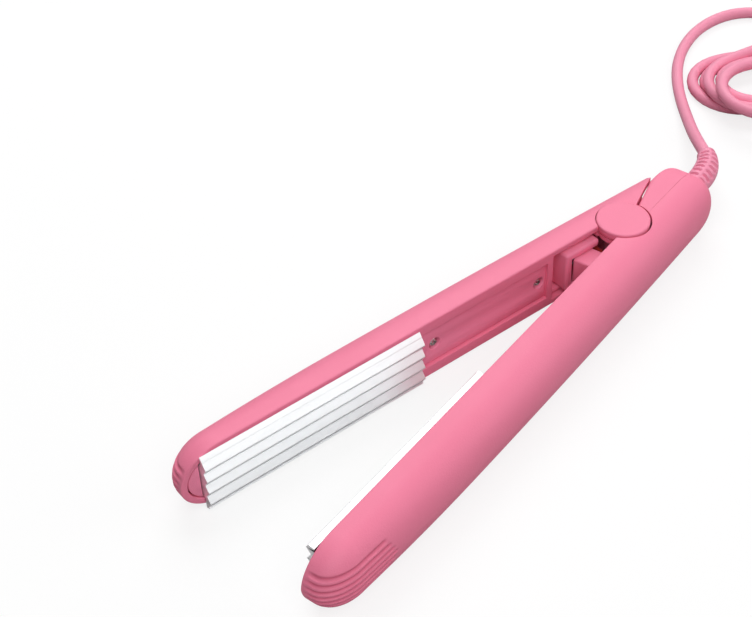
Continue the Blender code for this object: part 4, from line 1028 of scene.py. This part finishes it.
# %% Plate arm cover
cover = cover_plate(PLATE_ARM)
socket = block(PLATE_ARM, (SOCKET_REAR_U, SOCKET_RIM_V, -SOCKET_HALF),
               (SOCKET_U, SOCKET_FLOOR_V + SOCKET_FLOOR, SOCKET_HALF))
round_edges(socket, 0.9, segments=4)
inner = SOCKET_HALF - SOCKET_WALL
hollow = block(PLATE_ARM, (SOCKET_REAR_U - 2, -3, -inner),
               (SOCKET_U - SOCKET_WALL, SOCKET_FLOOR_V, inner))
half = TRAY_HALF + TRAY_WALL / 2
tray = block(PLATE_ARM, (COVER_REAR_U + INSET, COVER_V + INSET, -half),
             (TRAY_FRONT_U + TRAY_WALL, TRAY_V + TRAY_WALL, half))
tray_hollow = block(PLATE_ARM, (COVER_REAR_U - 3, 0, -TRAY_HALF),
                    (TRAY_FRONT_U, TRAY_V, TRAY_HALF))
combine(cover, "UNION", tray)
combine(cover, "DIFFERENCE", tray_hollow)
combine(cover, "UNION", socket, tip_pad(PLATE_ARM))
combine(cover, "DIFFERENCE", hollow, *screw_seats(PLATE_ARM))
finish_cover(cover, PLATE_ARM)


# %% Cord arm cover
cover = cover_plate(CORD_ARM)
barrel = rod(CORD_ARM, (0, 0, -BARREL_HALF), (0, 0, BARREL_HALF), BARREL_RADIUS)
web = block(CORD_ARM, (0, 2.4, -BARREL_HALF + INSET),
            (COVER_REAR_U + 2, COVER_V + COVER_THICKNESS - INSET, BARREL_HALF - INSET))
spring_block = block(CORD_ARM, (BLOCK_U[0], -BLOCK_RISE, -BLOCK_HALF),
                     (BLOCK_U[1], BLOCK_FLOOR_V + BLOCK_WALL, BLOCK_HALF))
round_edges(spring_block, 0.6, segments=4)
inner = BLOCK_HALF - BLOCK_WALL
hollow = block(CORD_ARM, (BLOCK_U[0] + BLOCK_WALL, -BLOCK_RISE - 2, -inner),
               (BLOCK_U[1] - BLOCK_WALL, BLOCK_FLOOR_V, inner))
bore = rod(CORD_ARM, (0, 0, -BARREL_HALF - 2), (0, 0, BARREL_HALF + 2), AXLE_RADIUS + GAP)
slot = block(CORD_ARM, (BARREL_RADIUS + 1.0, 1, -SLOT_HALF), (BLOCK_U[0] - 0.6, 8, SLOT_HALF))
combine(cover, "UNION", web, barrel, spring_block, tip_pad(CORD_ARM))
combine(cover, "DIFFERENCE", hollow, bore, slot, *screw_seats(CORD_ARM))
finish_cover(cover, CORD_ARM)

# %% [markdown]
# ## Corrugated plates
# The plates press the waves into the hair. Their faces are zigzags of 4.2 mm pitch, extruded
# along the plate, on a flat back with a spine. The shape is a rule, so a Geometry Nodes tree
# makes it from named sizes: a grid is folded by a ping-pong function, thickened down to a flat
# back, and its middle strip is raised as the spine. One plate starts with a valley and the other
# with a peak, so that a peak meets a valley all the way down when the tool shuts.

# %% Geometry Nodes helpers
def close_tree(tree, size, out, geometry):
    """Realize Instances, set the material and hand the result out."""
    real = add_node(tree, "GeometryNodeRealizeInstances", {"Geometry": geometry})
    paint = add_node(tree, "GeometryNodeSetMaterial", {
        "Geometry": real.outputs["Geometry"], "Material": size["Material"]})
    feed(tree, out["Geometry"], paint.outputs["Geometry"])
    print("tree", tree.name, "with", len(tree.nodes), "nodes")
    return tree


def grown(name, tree, place, plain, **lengths):
    """A plain mesh made by the tree from plain values and lengths in mm, put in its place."""
    seed = new_object(name, bpy.data.meshes.new(name))
    step = seed.modifiers.new("grow", "NODES")
    step.node_group = tree
    labels = {s.name: s.identifier for s in tree.interface.items_tree if s.in_out == "INPUT"}
    for label, value in plain.items():
        step[labels[label]] = value
    for label, value in lengths.items():
        step[labels[label.replace("_", " ")]] = value * MM
    bm = bmesh.new()
    bm.from_mesh(settle(seed).data)
    bmesh.ops.transform(bm, matrix=place, verts=bm.verts)
    seed.data = closed_mesh(name, bm, merge=0.000002)
    return seed


def outwards(arm, u, v):
    """Takes a mesh drawn with x along u, y across (w) and z outwards (v) to its place."""
    order = Matrix(((1, 0, 0, 0), (0, 0, 1, 0), (0, 1, 0, 0), (0, 0, 0, 1)))
    return arm.axes() @ order @ Matrix.Translation((u * MM, 0, v * MM))


# %% The corrugated plate as a tree
tree, size, out = new_group("Geometry", "corrugated_plate", {
    "Length": 0.070, "Half Width": 0.0093, "Pitch": 0.0042, "First Fold": 0.008,
    "Peak": -0.00055, "Depth": 0.00145, "Shift": 0.0, "Back": 0.002, "Spine Half": 0.006,
    "Spine Depth": 0.0014, "Material": None}, ("Geometry",))
grid = add_node(tree, "GeometryNodeMeshGrid", {
    "Vertices X": 2, "Vertices Y": 187, "Size X": size["Length"],
    "Size Y": calc(tree, "MULTIPLY", size["Half Width"], 2.0)}).outputs["Mesh"]
where = add_node(tree, "GeometryNodeInputPosition").outputs[0]
x, y, _ = add_node(tree, "ShaderNodeSeparateXYZ", {"Vector": where}).outputs
fold = calc(tree, "MULTIPLY", size["Pitch"], 0.5)
below = calc(tree, "MAXIMUM", calc(tree, "SUBTRACT", size["First Fold"], y), 0.0)
folds = calc(tree, "ADD", calc(tree, "DIVIDE", below, fold), size["Shift"])
# A real die rounds the peaks and valleys a little.
soft = calc(tree, "SMOOTH_MAX", calc(tree, "PINGPONG", folds, 1.0), 0.03, 0.08)
soft = calc(tree, "SMOOTH_MIN", soft, 0.97, 0.08)
# Above the first fold the face keeps falling back to the plate's upper edge.
above = calc(tree, "MAXIMUM", calc(tree, "SUBTRACT", y, size["First Fold"]), 0.0)
deep = calc(tree, "ADD", soft, calc(tree, "DIVIDE", above, fold))
height = calc(tree, "ADD", size["Peak"], calc(tree, "MULTIPLY", deep, size["Depth"]))
face = add_node(tree, "GeometryNodeSetPosition", {
    "Geometry": grid, "Offset": vector(tree, 0.0, 0.0, height)}).outputs["Geometry"]
thick = add_node(tree, "GeometryNodeExtrudeMesh", {
    "Mesh": face, "Offset Scale": 0.001, "Individual": False}).outputs
flat = add_node(tree, "GeometryNodeSetPosition", {
    "Geometry": thick["Mesh"], "Selection": thick["Top"],
    "Position": vector(tree, x, y, size["Back"])}).outputs["Geometry"]
# The spine is the middle strip of that flat back, raised once more.
near = calc(tree, "LESS_THAN", calc(tree, "ABSOLUTE", y), size["Spine Half"])
spine = add_node(tree, "GeometryNodeExtrudeMesh", {
    "Mesh": flat, "Selection": calc(tree, "MULTIPLY", thick["Top"], near),
    "Offset": vector(tree, 0.0, 0.0, 1.0), "Offset Scale": size["Spine Depth"],
    "Individual": False}).outputs["Mesh"]
flipped = add_node(tree, "GeometryNodeFlipFaces", {"Mesh": face}).outputs["Mesh"]
both = add_node(tree, "GeometryNodeJoinGeometry", {"Geometry": spine})
feed(tree, both.inputs["Geometry"], flipped)
PLATE_TREE = close_tree(tree, size, out, both.outputs["Geometry"])


# %% Two plates from the tree
def make_plate(arm, shift, material, length=70.0):
    plate = grown(f"fine_{arm.body}_plate", PLATE_TREE,
                  outwards(arm, PLATE_REAR_U + length / 2, 0), {
                      "Shift": shift, "Material": material},
                  Length=length, Half_Width=9.3, Pitch=4.2, First_Fold=8.0, Peak=-0.55, Depth=1.45,
                  Back=2.0, Spine_Half=6.0, Spine_Depth=1.4)
    return dress(plate, arm.body, material, "plate_metal", f"{arm.body}_plate")


make_plate(CORD_ARM, 0.0, PLATE_SATIN)
make_plate(PLATE_ARM, 1.0, PLATE_SATIN_TURNED)

# %% [markdown]
# ## Screws
# Four small pan-head screws hold the inner covers, two in each arm. They are one pattern, so a
# Geometry Nodes tree draws a screw from named sizes, cuts the cross recess into its head and
# repeats it along a row. Each arm gets one mesh with its own row.

# %% The screw row as a tree
tree, size, out = new_group("Geometry", "screw_row", {
    "Count": 2, "Spacing": 0.038, "Head Radius": 0.00165, "Dome": 0.0008,
    "Shank Radius": 0.0009, "Length": 0.006, "Recess": 0.001, "Material": None}, ("Geometry",))

def moved(mesh, **how):
    return add_node(tree, "GeometryNodeTransform", {
        "Geometry": mesh.outputs["Mesh"], **how}).outputs["Geometry"]

def share(label, part):
    return calc(tree, "MULTIPLY", size[label], part)

ball = add_node(tree, "GeometryNodeMeshUVSphere", {"Segments": 48, "Rings": 24, "Radius": 1.0})
head = moved(ball, Scale=vector(tree, size["Head Radius"], size["Head Radius"], size["Dome"]))
shank = add_node(tree, "GeometryNodeMeshCylinder", {
    "Vertices": 32, "Radius": size["Shank Radius"], "Depth": size["Length"]})
shank = moved(shank, Translation=vector(tree, 0.0, 0.0, share("Length", 0.5)))
whole = add_node(tree, "GeometryNodeMeshBoolean", operation="UNION", solver="EXACT")
for piece in (shank, head):
    feed(tree, whole.inputs["Mesh 2"], piece)
cross = add_node(tree, "GeometryNodeMeshBoolean", {"Mesh 1": whole.outputs["Mesh"]},
                 operation="DIFFERENCE", solver="EXACT")
for wide, narrow in ((2.0, 0.42), (0.42, 2.0)):
    sides = vector(tree, share("Recess", wide), share("Recess", narrow), size["Dome"])
    cube = add_node(tree, "GeometryNodeMeshCube", {"Size": sides})
    up = vector(tree, 0.0, 0.0, share("Dome", -0.85))
    feed(tree, cross.inputs["Mesh 2"], moved(cube, Translation=up))
row = add_node(tree, "GeometryNodeMeshLine", {
    "Count": size["Count"], "Offset": vector(tree, size["Spacing"], 0.0, 0.0)})
repeat = add_node(tree, "GeometryNodeInstanceOnPoints", {
    "Points": row.outputs["Mesh"], "Instance": cross.outputs["Mesh"]})
SCREW_TREE = close_tree(tree, size, out, repeat.outputs["Instances"])


# %% Rows of cover screws
def make_cover_screws(arm):
    place = outwards(arm, SCREW_U[0], SCREW_SEAT_V - 0.3)
    row = grown(f"fine_{arm.body}_screws", SCREW_TREE, place,
                {"Count": len(SCREW_U), "Material": SCREW_STEEL}, Spacing=SCREW_U[1] - SCREW_U[0],
                Head_Radius=SCREW_HEAD_RADIUS - 0.1, Dome=0.95, Shank_Radius=SCREW_SHANK_RADIUS,
                Length=6.0, Recess=0.95)
    return dress(row, arm.body, SCREW_STEEL, "plain_steel", f"{arm.body}_screw_rear",
                 f"{arm.body}_screw_front")


for arm in (CORD_ARM, PLATE_ARM):
    make_cover_screws(arm)

# %% [markdown]
# ## Cord boot
# The boot is rubbery plastic moulded on the cord. Rows of short slots make it bend evenly, and
# the uncut lengths between the rows work as spines. The body is skinned over rings along a bent
# line. Its radius is a gentle taper less the slots, and each slot is a smooth pulse along the
# boot times a smooth window round it.

# %% Cord boot
RELIEF_END_RADIUS, RELIEF_INSIDE, RELIEF_OUTSIDE = 2.95, 8.5, 19.6
RELIEF_STRAIGHT, RELIEF_TURN = 6.0, 49.4
RELIEF_FLANGE_RADIUS, RELIEF_FLANGE, RELIEF_NECK, RELIEF_END_ROUND = 3.9, 1.5, 2.9, 1.1
SLOT_PITCH, SLOT_DEPTH, SLOT_ROWS, SLOT_HALF_TURN = 2.25, 0.75, (66, 136, 246, 316), 29
SWELL, RING_SPACING, RING_DEGREES = 0.7, 0.14, 4
RELIEF_START_X = TAIL_X - RELIEF_INSIDE


def swelling(length):
    """The boot is fuller in its middle, on the inner side of its bend."""
    t = min(max((length - RELIEF_INSIDE + 1.0) / (RELIEF_OUTSIDE - 1.0), 0.0), 1.0)
    return SWELL * math.sin(math.pi * t) ** 0.8


def relief_line(length):
    """A point of the boot's centre line, and its heading: straight in the tail, then bent."""
    straight = RELIEF_INSIDE + RELIEF_STRAIGHT
    if length <= straight:
        return Vector((RELIEF_START_X + length, -PARTING_V, 0)), 0.0
    radius = (RELIEF_OUTSIDE - RELIEF_STRAIGHT) / math.radians(RELIEF_TURN)
    heading = (length - straight) / radius
    return Vector((RELIEF_START_X + straight + radius * math.sin(heading),
                   -PARTING_V + radius * (1 - math.cos(heading)), 0)), heading


def slot_depth(length, degrees):
    """How deep a slot is cut here: rows round the boot, pulses along it, none at its end."""
    row = min(range(4), key=lambda k: abs(SLOT_ROWS[k] - degrees))
    aside = abs(SLOT_ROWS[row] - degrees) / SLOT_HALF_TURN
    along = (length - RELIEF_INSIDE - 1.0) / SLOT_PITCH + (0.5 if row in (0, 3) else 0.0)
    if aside >= 1 or not 0.5 < along < 8.0:
        return 0.0
    pulse = max(0.0, 1 - abs((along % 1.0) - 0.5) / 0.27)
    return SLOT_DEPTH * min(1.0, 1.6 * pulse) * min(1.0, 3.2 * (1 - aside))


def boot_stations():
    """(length, radius) along the boot: neck, flange, taper and rounded end."""
    total, step = RELIEF_INSIDE + RELIEF_OUTSIDE, 1.0 + RELIEF_FLANGE
    made = [(0.0, 0.0), (0.0, RELIEF_NECK), (1.0, RELIEF_NECK), (1.0, RELIEF_FLANGE_RADIUS),
            (step, RELIEF_FLANGE_RADIUS), (step, RELIEF_RADIUS)]
    for length in np.arange(RELIEF_INSIDE - 1.0, total - RELIEF_END_ROUND, RING_SPACING).tolist():
        t = max(0.0, (length - RELIEF_INSIDE) / RELIEF_OUTSIDE)
        made.append((length, RELIEF_RADIUS + (RELIEF_END_RADIUS - RELIEF_RADIUS) * t))
    made += [(total - RELIEF_END_ROUND * (1 - math.sin(turn)),
              RELIEF_END_RADIUS - RELIEF_END_ROUND * (1 - math.cos(turn)))
             for turn in quarter(8)[1:]]
    return made + [(total, 0.0)]


def boot_ring(length, radius):
    centre, heading = relief_line(length)
    across, up = Vector((-math.sin(heading), math.cos(heading), 0)), Vector((0, 0, 1))
    more = swelling(length) if radius > 2.0 else 0.0
    centre += more * across + MIDDLE_Z * up
    made = []
    for degrees in range(0, 360, RING_DEGREES):
        r = radius + more - (slot_depth(length, degrees) if radius > 2.5 else 0.0)
        a = math.radians(degrees)
        made.append((centre + r * (math.cos(a) * across + math.sin(a) * up)) * MM)
    return made


boot = solid("fine_strain_relief", skin([boot_ring(*station) for station in boot_stations()]))
dress(boot, "cord_arm", CORD_PINK, "cord_plastic", "strain_relief", sharp=40)

# %% [markdown]
# ## Jaw spring
# A coil spring between the two arms keeps the jaws open. A Spiral curve with a round profile is
# exactly such a spring, so the tree has only four sizes. It stands in the cord arm's hollow
# block.

# %% Jaw spring
SPRING_WIRE, SPRING_RADIUS, SPRING_TURNS = 0.6, 1.35, 9.0


def make_spring_tree():
    tree, size, out = new_group("Geometry", "coil_spring", {
        "Turns": 9.0, "Radius": 0.00135, "Wire": 0.0006, "Height": 0.02, "Material": None},
        ("Geometry",))
    coil = add_node(tree, "GeometryNodeCurveSpiral", {
        "Resolution": 36, "Rotations": size["Turns"], "Start Radius": size["Radius"],
        "End Radius": size["Radius"], "Height": size["Height"]})
    wire = add_node(tree, "GeometryNodeCurvePrimitiveCircle", {
        "Resolution": 16, "Radius": calc(tree, "MULTIPLY", size["Wire"], 0.5)})
    tube = add_node(tree, "GeometryNodeCurveToMesh", {
        "Curve": coil.outputs["Curve"], "Profile Curve": wire.outputs["Curve"], "Fill Caps": True})
    return close_tree(tree, size, out, tube.outputs["Mesh"])


# It fills the room between the block's floor and the open socket's floor.
u = sum(BLOCK_U) / 2
low = BLOCK_FLOOR_V - GAP - SPRING_WIRE / 2
floor = (SOCKET_FLOOR_V + u * math.sin(OPEN_TURN)) / math.cos(OPEN_TURN)
lean = (SPRING_RADIUS + SPRING_WIRE) * math.tan(OPEN_TURN)
high = floor - lean - GAP - SPRING_WIRE / 2
place = outwards(CORD_ARM, u, low) @ Matrix.Rotation(math.pi, 4, "X")
spring = grown("fine_jaw_spring", make_spring_tree(), place, {
    "Turns": SPRING_TURNS, "Material": TURNED_STEEL},
    Radius=SPRING_RADIUS, Wire=SPRING_WIRE, Height=low + high)
jaw_spring = dress(spring, "cord_arm", TURNED_STEEL, "plain_steel", "jaw_spring", sharp=60)

# %% [markdown]
# ## Plug
# The plug is moulded round its two blades. Its body is a rounded block that narrows to the cord,
# with finger ridges on both broad sides. Skinning it over superellipse sections keeps the flow of
# the body simple: every section is a width, a height and a fullness. The blades have small holes.

# %% Plug body
PLUG_FRONT_X, PLUG_LENGTH, PLUG_Y, PLUG_HALF, PLUG_HEIGHT = 71.0, 25.7, -32.2, 10.0, 14.0
PLUG_SIDES, PLUG_STEPS, FRONT_ROUND = 96, 120, 0.8


def plug_at(x, across, up):
    """A place from the plug's front face, middle and half height, in metres."""
    return Vector((PLUG_FRONT_X + x, PLUG_Y + across, PLUG_HEIGHT / 2 + up)) * MM


def plug_section(x, half, rise, fullness):
    made = []
    for k in range(PLUG_SIDES):
        turn = 2 * math.pi * k / PLUG_SIDES
        across, out = (math.copysign(abs(c) ** (2 / fullness), c)
                       for c in (math.cos(turn), math.sin(turn)))
        made.append(plug_at(x, half * across, 0.05 + rise * out))
    return made


def plug_size(t):
    """(half width, half height) at a share of the plug's length: full, then narrow."""
    front = FRONT_ROUND * (1 - math.sqrt(1 - (1 - min(t / 0.10, 1.0)) ** 2))
    taper = 1 - 0.62 * ease(t, (0.62, 1.0))
    ridge = 0.35 * math.sin(2 * math.pi * (t - 0.22) / 0.07) if 0.22 < t < 0.57 else 0.0
    return PLUG_HALF * taper - front, (PLUG_HEIGHT / 2 - 0.4 + ridge) * taper - front


rings = [plug_section(PLUG_LENGTH * t, *plug_size(t), 3.4 - t)
         for t in np.linspace(0, 1, PLUG_STEPS).tolist()]
ends = [[plug_at(x, 0, 0)] * PLUG_SIDES for x in (0, PLUG_LENGTH)]
body = solid("fine_plug_body", skin([ends[0], *rings, ends[1]]))
plug_body = dress(body, "cord_arm", CORD_PINK, "cord_plastic", "plug_body", sharp=50)

# %% Plug blades
BLADE_SPACING, BLADE_REACH, BLADE_HALF, BLADE_TIP, BLADE_THICKNESS = 12.7, 16.0, 3.15, 1.6, 1.5
BLADE_START, HOLE_RADIUS, HOLE_FROM_TIP = -0.3, 1.5, 4.2


def make_blade(side, tag):
    y, corner = side * BLADE_SPACING / 2, BLADE_TIP - BLADE_REACH
    low = [(corner - BLADE_TIP * math.sin(a), BLADE_TIP * (1 - math.cos(a)) - BLADE_HALF)
           for a in quarter(6)]
    high = [(x, -z) for x, z in reversed(low)]
    outline = [(BLADE_START, -BLADE_HALF), *low, *high, (BLADE_START, BLADE_HALF)]
    blade = slab(*([plug_at(x, y + d, z) for x, z in outline]
                   for d in (-BLADE_THICKNESS / 2, BLADE_THICKNESS / 2)))
    hole = [plug_at(HOLE_FROM_TIP - BLADE_REACH, y + d, 0) for d in (2, -2)]
    combine(blade, "DIFFERENCE", bar(*hole, HOLE_RADIUS, sides=48))
    round_edges(blade, 0.18)
    blade.name = f"fine_plug_blade_{tag}"
    return dress(blade, "cord_arm", BRASS, "blade_brass", f"plug_blade_{tag}")


blades = [make_blade(side, tag) for side, tag in ((1, "a"), (-1, "b"))]

# %% [markdown]
# ## Parts inside
# What lies inside the arms keeps its CAD shape and only gets its finish: ceramic heaters on
# mineral paper, spring steel, sleeved leads. A table of materials by node is all it takes.

# %% Finishes of the inner parts
INNER = {
    CERAMIC: ("cord_arm_heater", "plate_arm_heater"),
    MINERAL_PAPER: ("cord_arm_heater_pad", "plate_arm_heater_pad"),
    TURNED_STEEL: ("cord_arm_leaf_spring", "plate_arm_leaf_spring", "hinge_axle", "axle_clip",
                   "hinge_washer_top", "hinge_washer_bottom", "thermal_fuse",
                   "clamp_screw_upper", "clamp_screw_lower"),
    RED_SLEEVE: ("live_lead_rear", "live_lead_front", "live_link_wire", "plate_arm_live_lead"),
    WHITE_SLEEVE: ("neutral_lead", "neutral_link_wire", "plate_arm_neutral_lead"),
    CORD_PINK: ("inner_sheath",),
    DARK_STRAP: ("cord_clamp", "hank_tie"),
}
for material, names in INNER.items():
    for name in names:
        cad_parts[name].material_slots[0].material = material
print("finished", sum(len(names) for names in INNER.values()), "CAD pieces")

# %% Finish
bpy.context.scene.view_settings.view_transform = "Standard"
